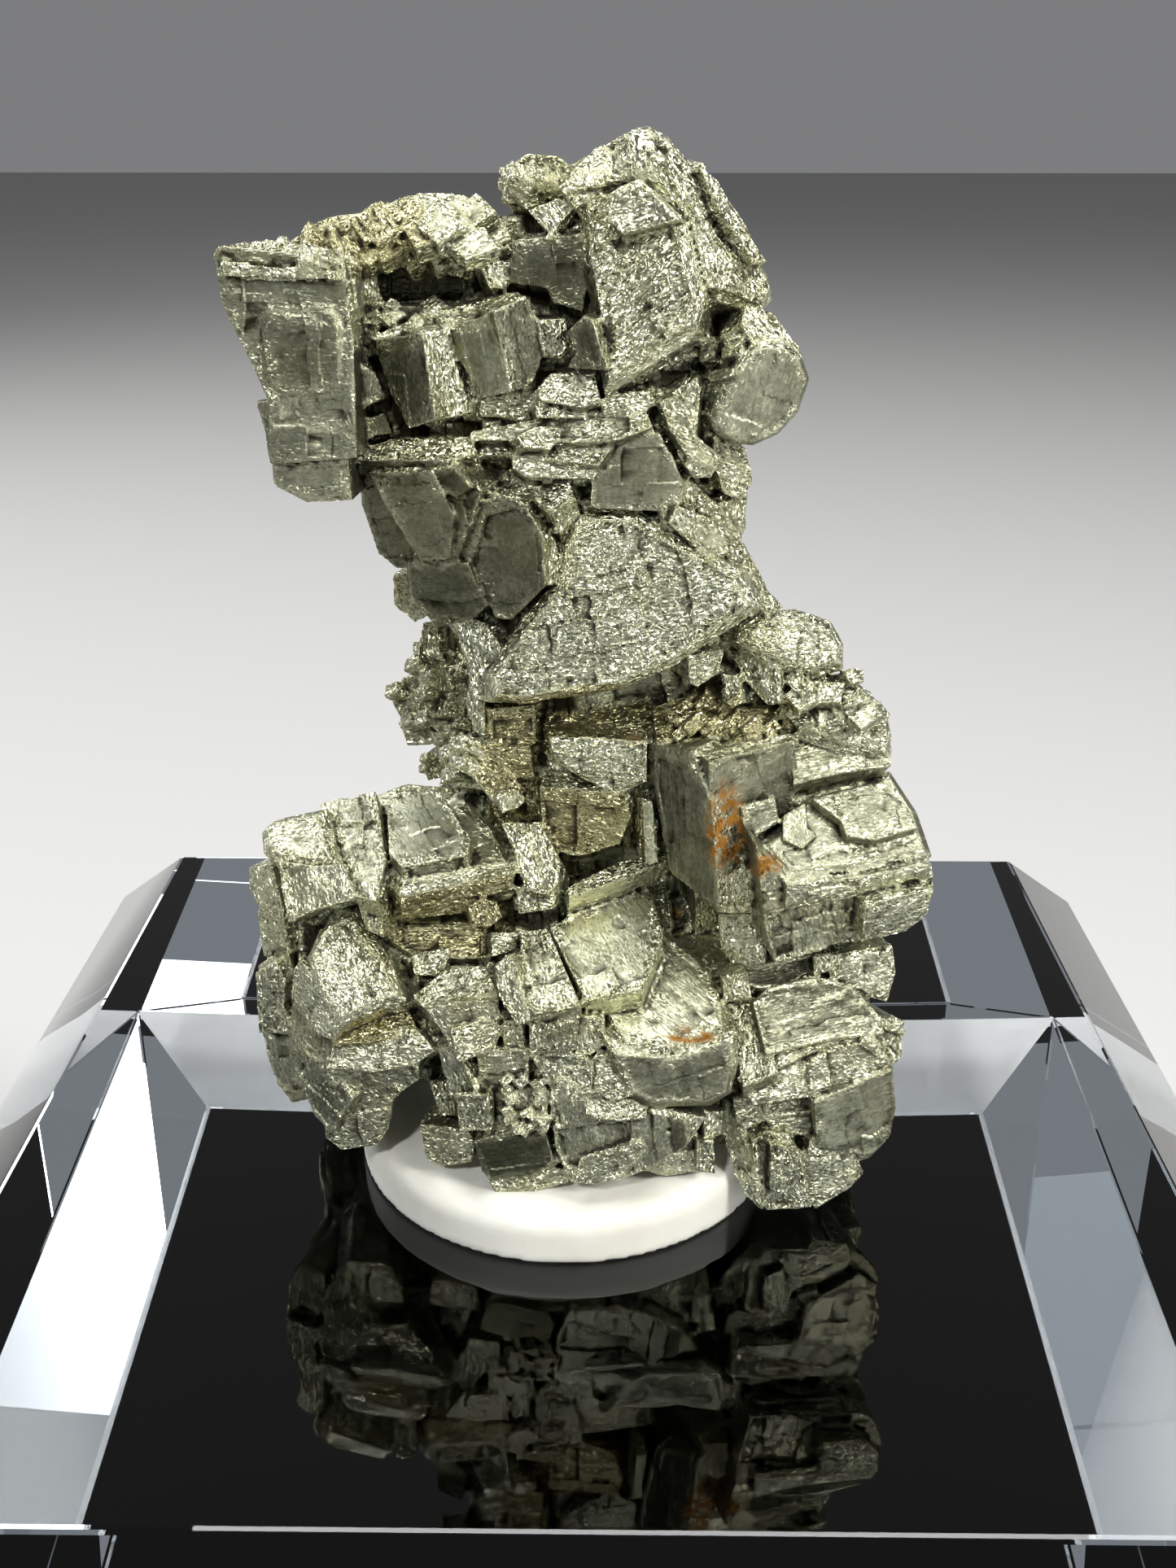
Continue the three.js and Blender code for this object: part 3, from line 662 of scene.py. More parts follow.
@dataclass(frozen=True)
class Sight:
    """Upright plane on which crystal outlines are laid out, as seen from the eye."""

    eye: tuple = (0.88, -79.5, 53.7)
    plane: float = -8.0

    def aim(self, x: float, z: float) -> Vector:
        """Sight line from the eye to (x, z) on the plane."""
        return Vector((x, self.plane, z)) - Vector(self.eye)

    def meet(self, x: float, z: float, origin: Vector, normal: Vector) -> Vector:
        """Point where the sight line through (x, z) meets a plane.

        Args:
            x: place on the upright plane.
            z: height on it.
            origin: point of the plane that is met.
            normal: normal of that plane.

        Returns:
            The meeting point.
        """
        eye = Vector(self.eye)
        aim = self.aim(x, z)
        return eye + aim * ((origin - eye).dot(normal) / aim.dot(normal))

    def seen(self, points: np.ndarray) -> np.ndarray:
        """Places of points on the plane.

        Args:
            points: one row for each point.

        Returns:
            Two columns, x and z.
        """
        eye = np.array(self.eye)
        reach = (self.plane - eye[1]) / (points[:, 1] - eye[1])
        return np.stack([eye[axis] + (points[:, axis] - eye[axis]) * reach for axis in (0, 2)], axis=1)


@dataclass(frozen=True)
class Crystal:
    """Small crystal with a flat face of a given seen outline, as x, z, x, z and so on.

    depth is the y of the middle of the face, yaw turns it right, tilt turns it up,
    and rise lifts it off its plane.
    """

    depth: float
    yaw: float
    tilt: float
    thick: float
    outline: tuple
    rise: float = 0.0

    def facing(self) -> Vector:
        """Direction in which the face looks."""
        yaw, tilt = math.radians(self.yaw), math.radians(self.tilt)
        return Vector(
            (math.sin(yaw) * math.cos(tilt), -math.cos(yaw) * math.cos(tilt), math.sin(tilt))
        )

    def add_to(self, bm: bmesh.types.BMesh, sight: Sight) -> None:
        """Adds the closed crystal to a bmesh.

        Args:
            bm: the bmesh.
            sight: plane on which the outline is given.
        """
        pairs = list(zip(self.outline[::2], self.outline[1::2]))
        mid = (sum(p[0] for p in pairs) / len(pairs), sum(p[1] for p in pairs) / len(pairs))
        middle = sight.meet(*mid, Vector((0, self.depth, 0)), Vector((0, -1, 0)))
        facing = self.facing()
        lift = facing * self.rise
        front = [bm.verts.new(sight.meet(x, z, middle, facing) + lift) for x, z in pairs]
        face = bm.faces.new(front)
        face.normal_update()
        if face.normal.dot(facing) < 0:
            face.normal_flip()
        grown = bmesh.ops.extrude_face_region(bm, geom=[face], use_keep_orig=True)
        back = [v for v in grown["geom"] if isinstance(v, bmesh.types.BMVert)]
        bmesh.ops.translate(bm, verts=back, vec=-facing * (self.thick + self.rise))
        skin = dict.fromkeys(f for v in front + back for f in v.link_faces)
        bmesh.ops.recalc_face_normals(bm, faces=list(skin))


class Kind(Enum):
    """How the surface of a crystal face looks."""

    PLAIN = "plain"
    DARK = "dark"
    BRIGHT = "bright"
    FOIL = "foil"
    GOLD = "gold"
    SMOOTH = "smooth"
    DULL = "dull"


@dataclass(frozen=True)
class Look:
    """Brightness, sparkle and relief of a kind of face."""

    tone: float
    foil: float
    relief: float


# Tones are partly each kind's own tarnish and partly painted light and shade: the dark and dull kinds are
# partly painted shade, and the bright kind partly painted light.
LOOKS: dict = {
    Kind.PLAIN: Look(0.52, 0.20, 1.0),
    Kind.DARK: Look(0.0, 0.10, 0.4),
    Kind.DULL: Look(0.27, 0.09, 0.3),
    Kind.BRIGHT: Look(0.85, 0.40, 0.8),
    Kind.FOIL: Look(0.84, 1.0, 1.0),
    Kind.GOLD: Look(0.28, 0.40, 0.8),
    Kind.SMOOTH: Look(0.72, 0.08, 0.4),
}


@dataclass(frozen=True)
class Patch:
    """Seen rectangle whose faces share a kind."""

    kind: Kind
    left: float
    right: float
    low: float
    high: float

    def holds(self, x: float, z: float) -> bool:
        """Whether a seen place lies inside."""
        return self.left < x < self.right and self.low < z < self.high


@dataclass(frozen=True)
class Druse:
    """Patch of tiny crystals on what the eye sees inside a rectangle."""

    left: float
    right: float
    low: float
    high: float
    count: int
    smallest: float
    largest: float


@dataclass(frozen=True)
class Spot:
    """Seen oval with its middle and half sizes, and the y about which it fades in."""

    x: float
    z: float
    wide: float
    tall: float
    depth: float = 0.0

    def away(self, seen: np.ndarray) -> np.ndarray:
        """Squared distance from the middle, which is 1 on the oval's rim."""
        return ((seen[:, 0] - self.x) / self.wide) ** 2 + ((seen[:, 1] - self.z) / self.tall) ** 2


SMALL_CRYSTALS: tuple = (
    # tall block, upper left
    Crystal(-9, -6, 3, 2, (-15.3, 46.7, -10.4, 46.3, -10.4, 45.9, -15.4, 46.1), 0.3),
    Crystal(-9, -6, 3, 2, (-13.6, 41, -10.3, 41.1, -10.3, 39.6, -13.4, 39.8), 0.2),
    Crystal(-8.2, 25, -8, 3, (-9.9, 42.6, -9.1, 42.1, -8.7, 41, -9.6, 40.6, -10, 41.2)),
    Crystal(-7.6, 10, 5, 3, (-9.7, 40.1, -8.8, 40.4, -8.5, 39.5, -9.7, 39.2)),
    Crystal(-7.4, 0, 10, 4, (-4.7, 41, -2.5, 41.2, -2.3, 40.2, -4.7, 40.2)),
    # rough ridge and knob
    Crystal(-5.4, -20, 25, 3, (-11.8, 47.6, -9.8, 48.5, -8.6, 48.6, -8.4, 47.8, -9.1, 46.9,
                               -10.1, 46.9, -11.2, 47.1), 0.2),
    Crystal(-4.6, -10, 35, 3, (-8.4, 48.6, -6.9, 49.3, -5.1, 49.3, -4.6, 48.9, -5.1, 48.2,
                               -6.2, 48.4, -7.1, 47.8, -8.2, 48.2), 0.2),
    Crystal(-5.2, 10, 35, 3, (-6.2, 48.4, -4.6, 48.8, -3.1, 48.1, -3.1, 47.3, -3.8, 46.9,
                              -4.9, 47.4, -5.4, 47.8), 0.3),
    Crystal(-5.6, 20, 10, 3, (-8.5, 47.6, -8.2, 48.2, -6.9, 47.8, -6.8, 46.8, -7.7, 46.5, -8.4, 46.9)),
    Crystal(-6.0, -15, 5, 2, (-6.7, 47, -5, 46.6, -5.3, 46, -5.8, 46.1, -6.6, 46.6)),
    Crystal(-6.4, 10, 30, 1.2, (-6.7, 47.8, -6.2, 48, -4.5, 47, -4.5, 46.8, -5.4, 47.2, -6.6, 47.6), 0.3),
    Crystal(-6.6, 10, 15, 4, (-4.5, 46.4, -3.9, 46.8, -3.2, 46.6, -3, 46.1, -3.4, 45.6, -4.1, 45.6)),
    Crystal(-5.2, 25, 35, 3, (-11.6, 48, -10.4, 48.4, -10, 47.3, -11.4, 47.2)),
    Crystal(-5.8, 20, -5, 3, (-2.8, 50, -1.9, 50.1, -1.3, 49.5, -1.8, 49, -2.5, 48.7, -2.9, 49.2)),
    Crystal(-6.9, -15, 15, 3, (-2.5, 48.7, -1.2, 49.2, -0.6, 48.8, -1.5, 47.7)),
    Crystal(-7, -15, 25, 3, (-1.2, 49.6, -0.2, 50.3, 0.5, 49.5, -0.5, 48.7), 0.1),
    Crystal(-6.9, -15, 35, 3, (-0.3, 50.4, 0.7, 51.2, 1.7, 50.3, 0.5, 49.5), 0.2),
    # roof block and round-ended crystal
    Crystal(-8.6, -14, 10, 3, (0.7, 41.5, 2.5, 42.9, 4.3, 43.9, 4.6, 43.5, 1.2, 41.5), 0.4),
    Crystal(-8, 32, 18, 3, (4.1, 48.6, 5, 48.2, 6, 46.5, 5.8, 45.5, 5, 45.6), 0.2),
    Crystal(-7.2, 32, 18, 3, (4.4, 50.4, 5.2, 49.8, 7.4, 46.6, 6.8, 46.5, 5.1, 48.9), 0.3),
    Crystal(-6.8, 25, 10, 2, (5, 43.7, 5.9, 43.7, 5.8, 42.7, 5.1, 42.6)),
    Crystal(-7, -20, 25, 2.5, (5.2, 41.4, 6.3, 41.7, 6.6, 40.7, 5.6, 40.2)),
    Crystal(-7, 30, 20, 2.5, (5.9, 42.8, 6.8, 43, 6.7, 42, 6, 41.8)),
    # plates under the upper blocks
    Crystal(-8.5, 15, 0, 3, (4.2, 38.2, 5, 38.6, 5.6, 38.2, 5.5, 37.6, 4.7, 37.5)),
    Crystal(-8.2, 0, 0, 3, (4.1, 37.6, 4.8, 37.3, 5.3, 36.4, 4.6, 36.1, 4.1, 36.6)),
    Crystal(-8.6, 5, 20, 5, (-3.3, 38.6, -1.3, 38.3, 0.6, 38.3, 0.3, 37.5, -2.7, 37.6, -3.3, 38)),
    Crystal(-9.1, 20, 25, 3, (-2.3, 39.8, -1.5, 39.9, -1.1, 39.4, -1.6, 38.8, -2.8, 38.9, -3.1, 39.4)),
    Crystal(-8.3, 5, 20, 4, (0.6, 40.4, 0.8, 41.2, 2.7, 41.4, 2.95, 40.8, 2.2, 40.15)),
    Crystal(-8.7, -5, 25, 4, (-2.3, 41.3, -1.6, 42.1, 0.3, 42.1, 0.6, 40.9, -0.2, 40.6, -2, 40.9)),
    Crystal(-8.5, 10, 30, 3, (-2.3, 40.9, 0, 40.8, -0.1, 40.2, -2.2, 40.2)),
    Crystal(-8.3, -24, -8, 3, (-9.2, 37.9, -5.6, 38.2, -4.9, 37.2, -5.6, 36.8, -6.6, 37.3, -8.2, 36.9), 0.5),
    Crystal(-8.5, -20, -6, 3, (-5.9, 34.2, -5.1, 35.4, -4.6, 36.6, -3.6, 36.9, -2.5, 36.4, -4.4, 35.9,
                               -4.9, 34.4, -5.4, 33.2), 0.3),
    # waist
    Crystal(-8, -24, -8, 3, (-9.5, 37.9, -6.7, 38, -5.8, 36, -6, 34, -7.4, 33.8, -8, 35, -8.9, 36.6), 0.35),
    Crystal(-8.4, -15, 45, 4, (-4.1, 36.9, -3.5, 37.5, -0.8, 37.5, -0.6, 36.7, -1.6, 36, -2.5, 36.6)),
    Crystal(-8.3, 25, 0, 3, (-1.5, 35, -0.8, 37.3, -0.4, 36.4, -0.8, 35.2)),
    Crystal(-8.2, 35, 0, 3, (-2.1, 34.9, -1.5, 34.9, -1.1, 33.8, -1.1, 32.8, -2, 32.6)),
    Crystal(-7.4, -18, 5, 4, (-5.5, 28.3, -4.8, 27.6, -4.8, 25.3, -5.4, 25.5, -5.7, 27)),
    Crystal(-8, 15, 0, 2, (-4.4, 22.2, -3.5, 22.6, -2.9, 22.1, -3.3, 21.6, -4.1, 21.3)),
    Crystal(-6.4, 0, 0, 4, (-3.1, 23.2, -2.1, 23.2, -2.1, 21.2, -2.9, 21.2)),
    Crystal(-1, 0, 10, 6, (-7.7, 26.3, -5.4, 26.4, -5.2, 25, -6.8, 25.2)),
    Crystal(1.4, -10, 10, 4, (-8.9, 26, -7.4, 25.8, -7.2, 24.9, -8.5, 24.8)),
    Crystal(-0.5, 10, 10, 5, (-7.4, 25.6, -6.4, 25.2, -5.9, 24.4, -6.2, 23.7, -7, 24.6)),
    Crystal(0.4, -15, 5, 4, (-7.9, 24.2, -7.2, 24.6, -6.6, 24.1, -6.9, 23.2, -7.6, 23)),
    # right shoulder
    Crystal(-7, -20, 10, 3, (6.1, 28.5, 6.9, 28.4, 7.4, 27, 6.5, 26.8)),
    Crystal(-6.6, 20, 30, 3, (11.9, 28.4, 12.1, 28.8, 12.7, 28.7, 12.8, 28.1, 12.2, 28)),
    Crystal(-6.9, 30, 20, 3, (12.9, 27, 13.6, 27.2, 14.2, 26.5, 13.9, 25.9, 12.9, 26)),
    Crystal(-7.4, 10, 30, 3, (9.3, 27.6, 10.3, 28.3, 10.5, 27.4, 9.8, 26.8)),
    Crystal(-7.2, 20, 35, 3, (10.7, 28.1, 11.9, 28.1, 11.8, 27.1, 10.7, 27)),
    Crystal(-7.4, 0, 50, 3, (3.6, 26.6, 4.9, 26.5, 5.3, 26, 4.7, 25.6, 3.8, 25.9), 0.4),
    Crystal(-8.6, 22, 35, 3, (5.2, 24.4, 7.4, 25, 9.7, 25.6, 9.9, 25, 7.6, 24.6, 5.8, 23.9), 0.2),
    Crystal(-8.8, 27, -4, 3, (6.6, 23.8, 9.4, 24.7, 9.4, 22.9, 7.4, 22.2, 6.5, 22.6), 0.15),
    Crystal(-8.7, 24, 10, 3, (7.2, 21.8, 8.8, 22.3, 9.1, 21, 7.7, 20.1), 0.3),
    Crystal(-8.4, 10, 0, 4, (2.6, 22, 3.1, 22, 3.5, 18.7, 2.8, 18.7)),
    Crystal(-8.8, 10, 45, 3, (9.3, 21.2, 10.3, 21.9, 10.5, 20.5, 11, 20.2, 10.3, 19.4, 9.3, 19.9), 0.35),
    Crystal(-9.8, 14, -8, 3, (9.6, 17.8, 13, 18.2, 16.5, 19, 16.7, 18.2, 13.3, 17.2, 9.6, 16.4), 0.3),
    # broad plates, lower left
    Crystal(-6.4, -8, 70, 2, (-9.6, 21.8, -8.4, 22.5, -7, 22.3, -5.6, 19.8, -5.8, 18.9, -9, 18.2,
                              -9.6, 19), 0.3),
    Crystal(-9, 10, 15, 3, (-5.9, 16.3, -5.2, 16.8, -4.4, 16.5, -4.2, 15.7, -4.9, 15.1, -5.8, 15.2)),
    Crystal(-9, -10, 35, 3, (-8.8, 13.6, -6.8, 14.1, -7.1, 12.9, -7.6, 12.4, -8.7, 12.4)),
    Crystal(-9, 15, 30, 3, (-4.8, 14.9, -3.4, 14.9, -3.6, 13.9, -4.8, 13.4)),
    Crystal(-8.9, -10, 20, 4, (-11.4, 16.8, -10.3, 16.7, -10.1, 14.5, -11, 15)),
    Crystal(-9, -8, 20, 4, (-3.6, 17.5, -1.5, 17, -1.7, 16.2, -3.4, 15.9)),
    Crystal(-8.2, 10, 10, 4, (-5.2, 17.6, -3.2, 18, -3, 17.4, -4.4, 17.1)),
    # stepped block, lower left front
    Crystal(-8, -22, 6, 3, (-16.4, 12.7, -15.3, 13.4, -14.9, 12.2, -15.1, 10.6, -14.6, 9.2, -16.5, 9.2), 0.5),
    Crystal(-8, -22, 6, 3, (-16.2, 7.6, -14.7, 7.8, -14.6, 5.8, -15.8, 5.9), 0.4),
    Crystal(-12.2, 8, 20, 4, (-7, 9.3, -5.2, 9.9, -4.3, 9.5, -4.7, 8.1, -6.7, 7.2)),
    Crystal(-12.2, 0, 0, 4, (-4.3, 9.8, -3.3, 9.8, -3.2, 7.9, -4.3, 7.9)),
    Crystal(-12.9, -4, -2, 5, (-6.9, 5.3, -5.1, 5.3, -5, 3.1, -6.7, 3)),
    Crystal(-10.6, 10, 20, 4, (-8.2, 6.2, -7.1, 6.2, -6.8, 4, -7.7, 4)),
    # lower middle and right
    Crystal(-12.3, 5, 10, 5, (-0.8, 10.2, 0.9, 10, 0.9, 8.4, 0.2, 7.8, -0.6, 8)),
    Crystal(-12.8, 4, 35, 3, (-0.2, 5.4, 2, 5.2, 3.1, 4.6, 3, 3.9, 1, 3.7, -0.1, 4.1), 0.4),
    Crystal(-12.4, 5, 5, 4, (5.7, 2.6, 6.7, 2.6, 6.8, 0.4, 5.8, 0.5)),
    Crystal(-11.8, 15, 10, 4, (6, 4.4, 7.1, 4.4, 7, 2.8, 6.1, 2.8)),
    Crystal(-12.6, 10, 10, 3, (-2.3, 2.3, -1.6, 2.2, -1.2, 1.1, -2.1, 0.8)),
    Crystal(-11.3, 5, 8, 5, (7.5, 5.2, 9.3, 5.4, 9.4, 3.9, 8.2, 3.2, 7.7, 3.8)),
    Crystal(-11.2, 8, 0, 5, (9.4, 4.1, 11.9, 4.6, 11.9, 2.9, 9.8, 2.9)),
    Crystal(-8, 0, 10, 5, (11.2, 13.7, 12.1, 13.9, 12.3, 12.8, 11.3, 12.4)),
    Crystal(-11.8, 4, 4, 3, (9.5, 2.6, 10.4, 2.5, 11, 0.9, 10.6, -0.8, 9.6, -0.2), 0.35),
    Crystal(-11.2, 15, 20, 3, (11.5, 2.9, 12.6, 2.7, 12.5, 1.7, 11.5, 1.8), 0.3),
    Crystal(-13, 4, 5, 3, (-0.4, 1.6, 2.7, 2.8, 3, 2.2, 1.7, 0.4, 0.5, -0.1, -0.7, 0.1), 0.35),
    Crystal(-12.8, -10, 15, 3, (-4.3, 4.8, -3.3, 6, -2.7, 6.3, -2.1, 5.5, -2.1, 3, -4.1, 3)),
    Crystal(-7.2, 25, -5, 4, (5.6, 36.4, 6.9, 36.8, 7.1, 35.4, 6.8, 34.7, 5.8, 35.2)),
    Crystal(-8.2, 20, 0, 4, (3.5, 35.6, 3.9, 36.4, 5.9, 35.6, 6.3, 34.2, 5.3, 34), 0.2),
    Crystal(-8.6, 15, 5, 3, (3.1, 40.9, 3.6, 39.6, 4.4, 38.4, 5.6, 37.8, 5.9, 38.5, 4.8, 39.4, 4.4, 40.6,
                             3.8, 41.2)),
)

# Seen patches whose kinds paint in light and shade as well as tarnish, foil and gold.
PATCHES: tuple = (
    Patch(Kind.GOLD, -12.2, -6.6, 46.3, 49.6),
    Patch(Kind.DULL, -14.8, -10.4, 37.0, 44.8),
    Patch(Kind.FOIL, -15.6, -10.4, 44.9, 47.2),
    Patch(Kind.DARK, -10.2, -6.7, 39.6, 43.8),
    Patch(Kind.BRIGHT, -6.6, -5.4, 40.0, 44.0),
    Patch(Kind.DULL, -5.4, -3.6, 41.0, 44.3),
    Patch(Kind.BRIGHT, -3.6, -1.9, 41.2, 45.0),
    Patch(Kind.FOIL, 0.0, 4.8, 41.5, 47.4),
    Patch(Kind.FOIL, 2.2, 8.0, 45.0, 51.8),
    Patch(Kind.BRIGHT, -3.5, 1.8, 48.2, 51.4),
    Patch(Kind.SMOOTH, 1.0, 3.9, 47.6, 49.9),
    Patch(Kind.DARK, -3.2, 0.6, 42.2, 47.7),
    Patch(Kind.PLAIN, -1.9, -0.8, 42.6, 44.4),
    Patch(Kind.DULL, 5.4, 9.8, 39.0, 43.0),
    Patch(Kind.DARK, -10.2, -4.6, 30.5, 38.2),
    Patch(Kind.FOIL, -1.6, 7.8, 28.0, 35.6),
    Patch(Kind.DARK, -5.2, -2.2, 31.5, 36.7),
    Patch(Kind.BRIGHT, -6.2, -4.0, 27.0, 31.4),
    Patch(Kind.DULL, 0.2, 4.2, 36.0, 39.4),
    Patch(Kind.SMOOTH, 3.6, 6.4, 34.6, 36.6),
    Patch(Kind.BRIGHT, 6.4, 9.0, 31.5, 34.6),
    Patch(Kind.GOLD, -5.2, 3.0, 25.2, 27.7),
    Patch(Kind.GOLD, 3.0, 9.6, 25.0, 27.6),
    Patch(Kind.DULL, 3.0, 5.9, 16.0, 25.0),
    Patch(Kind.GOLD, -5.0, 2.4, 18.4, 25.2),
    Patch(Kind.FOIL, -1.6, 2.9, 22.9, 25.2),
    Patch(Kind.FOIL, -8.6, -5.0, 20.6, 25.8),
    Patch(Kind.BRIGHT, -5.4, -2.6, 16.8, 20.2),
    Patch(Kind.DULL, 7.6, 16.8, 18.0, 24.4),
    Patch(Kind.SMOOTH, -16.0, -11.5, 17.0, 21.8),
    Patch(Kind.SMOOTH, -10.4, -3.6, 18.0, 23.0),
    Patch(Kind.GOLD, -10.0, -3.6, 14.6, 17.0),
    Patch(Kind.SMOOTH, -1.9, 7.2, 9.4, 17.8),
    Patch(Kind.DULL, 2.0, 7.7, 4.5, 8.0),
    Patch(Kind.BRIGHT, -15.5, -9.4, 10.2, 16.6),
    Patch(Kind.GOLD, -13.0, -8.8, 8.3, 10.0),
    Patch(Kind.DULL, 8.3, 14.8, 9.4, 12.5),
    Patch(Kind.BRIGHT, 9.1, 12.8, 7.6, 9.3),
    Patch(Kind.DULL, 12.2, 16.0, 2.2, 6.0),
    Patch(Kind.DARK, -6.0, -2.2, 0.0, 3.0),
)

DRUSES: tuple = (
    Druse(-11.6, -9.0, 46.5, 47.6, 20, 0.7, 1.3),
    Druse(-9.4, -4.6, 46.6, 48.7, 46, 0.9, 1.6),
    Druse(-3.4, -1.0, 49.2, 50.6, 14, 0.6, 1.1),
    Druse(4.9, 6.5, 41.4, 44.4, 14, 0.6, 1.0),
    Druse(-8.8, -5.4, 23.2, 29.0, 30, 0.7, 1.4),
    Druse(3.4, 9.0, 25.2, 27.2, 16, 0.7, 1.2),
    Druse(-4.3, -2.3, 3.0, 6.2, 24, 0.4, 0.8),
    Druse(9.4, 13.6, 25.8, 28.4, 14, 0.7, 1.2),
    Druse(-9.2, -6.2, 44.1, 45.0, 16, 0.4, 0.8),
    Druse(14.2, 15.8, 7.6, 10.0, 8, 0.6, 1.0),
)

# seen ovals where painted shade darkens the two cavities
SHADED_HOLLOWS: tuple = (
    Spot(-7.4, 45.7, 2.2, 1.3, -6.2),
    Spot(5.7, 43.2, 1.1, 1.6, -6.9),
)

RUST_SPOTS: tuple = (
    Spot(6.6, 20.6, 1.0, 2.6),
    Spot(8.6, 18.6, 0.8, 0.7),
    Spot(5.3, 8.9, 1.5, 0.4),
    Spot(2.2, 25.2, 0.35, 0.3),
    Spot(4.3, 16.0, 0.3, 0.25),
)


@dataclass
class FaceSheet:
    """Flat faces of the cluster before it is worn, with a frame for each.

    flat is the least cosine between the normals of triangles in one plane.
    """

    bm: bmesh.types.BMesh
    flat: float = 0.9995
    group: np.ndarray = field(init=False)
    normal: np.ndarray = field(init=False)
    along: np.ndarray = field(init=False)
    across: np.ndarray = field(init=False)
    middle: np.ndarray = field(init=False)
    area: np.ndarray = field(init=False)
    borders: list = field(init=False)

    def __post_init__(self) -> None:
        """Gathers triangles that lie in one plane and finds their borders."""
        self.bm.faces.ensure_lookup_table()
        self.bm.faces.index_update()
        self.group = np.full(len(self.bm.faces), -1, np.int64)
        self.borders = []
        normal, along, middle, area = [], [], [], []
        for face in self.bm.faces:
            if self.group[face.index] >= 0:
                continue
            members, edges = self.gather(face, len(normal))
            lines = sorted(sorted(v.co[:] for v in e.verts) for e in edges or face.edges)
            start, end = max(lines, key=lambda line: round(math.dist(*line), 4))
            total = sum(f.calc_area() for f in members) or TINY
            centre = sum((f.calc_center_median() * f.calc_area() for f in members), Vector()) / total
            normal.append(face.normal[:])
            along.append((Vector(end) - Vector(start)).normalized()[:])
            middle.append(centre[:])
            area.append(total)
            self.borders.append(np.array(lines))
        self.normal, self.along = np.array(normal), np.array(along)
        self.across = np.cross(self.normal, self.along)
        self.middle, self.area = np.array(middle), np.array(area)

    def gather(self, first: bmesh.types.BMFace, number: int) -> tuple:
        """Gives one number to a face and to those joined to it in its plane.

        Args:
            first: face to start from.
            number: the number.

        Returns:
            The faces in the order of the bmesh, and the edges round them.
        """
        self.group[first.index] = number
        members, queue, edges = [], [first], []
        while queue:
            here = queue.pop()
            members.append(here)
            for edge in here.edges:
                others = [f for f in edge.link_faces if f is not here]
                level = [f for f in others if f.normal.dot(here.normal) > self.flat]
                if not level or len(edge.link_faces) != 2:
                    edges.append(edge)
                elif self.group[level[0].index] < 0:
                    self.group[level[0].index] = number
                    queue.append(level[0])
        members.sort(key=lambda f: f.index)
        return members, edges

    def rim(self, owner: np.ndarray, points: np.ndarray, reach: float) -> np.ndarray:
        """Distance from each point to the border of its flat face.

        Args:
            owner: number of the flat face of each point.
            points: one row for each point.
            reach: distance past which it isn't told.

        Returns:
            One distance for each point, reach at most.
        """
        result = np.full(len(points), reach)
        order = np.argsort(owner, kind="stable")
        cuts = np.searchsorted(owner[order], np.arange(len(self.borders) + 1))
        for number, border in enumerate(self.borders):
            chosen = order[cuts[number] : cuts[number + 1]]
            if not len(chosen):
                continue
            spot = points[chosen]
            for start, end in border:
                line = end - start
                t = np.clip((spot - start) @ line / max(line @ line, TINY), 0, 1)
                gap = np.linalg.norm(spot - start - t[:, None] * line, axis=1)
                result[chosen] = np.minimum(result[chosen], gap)
        return result


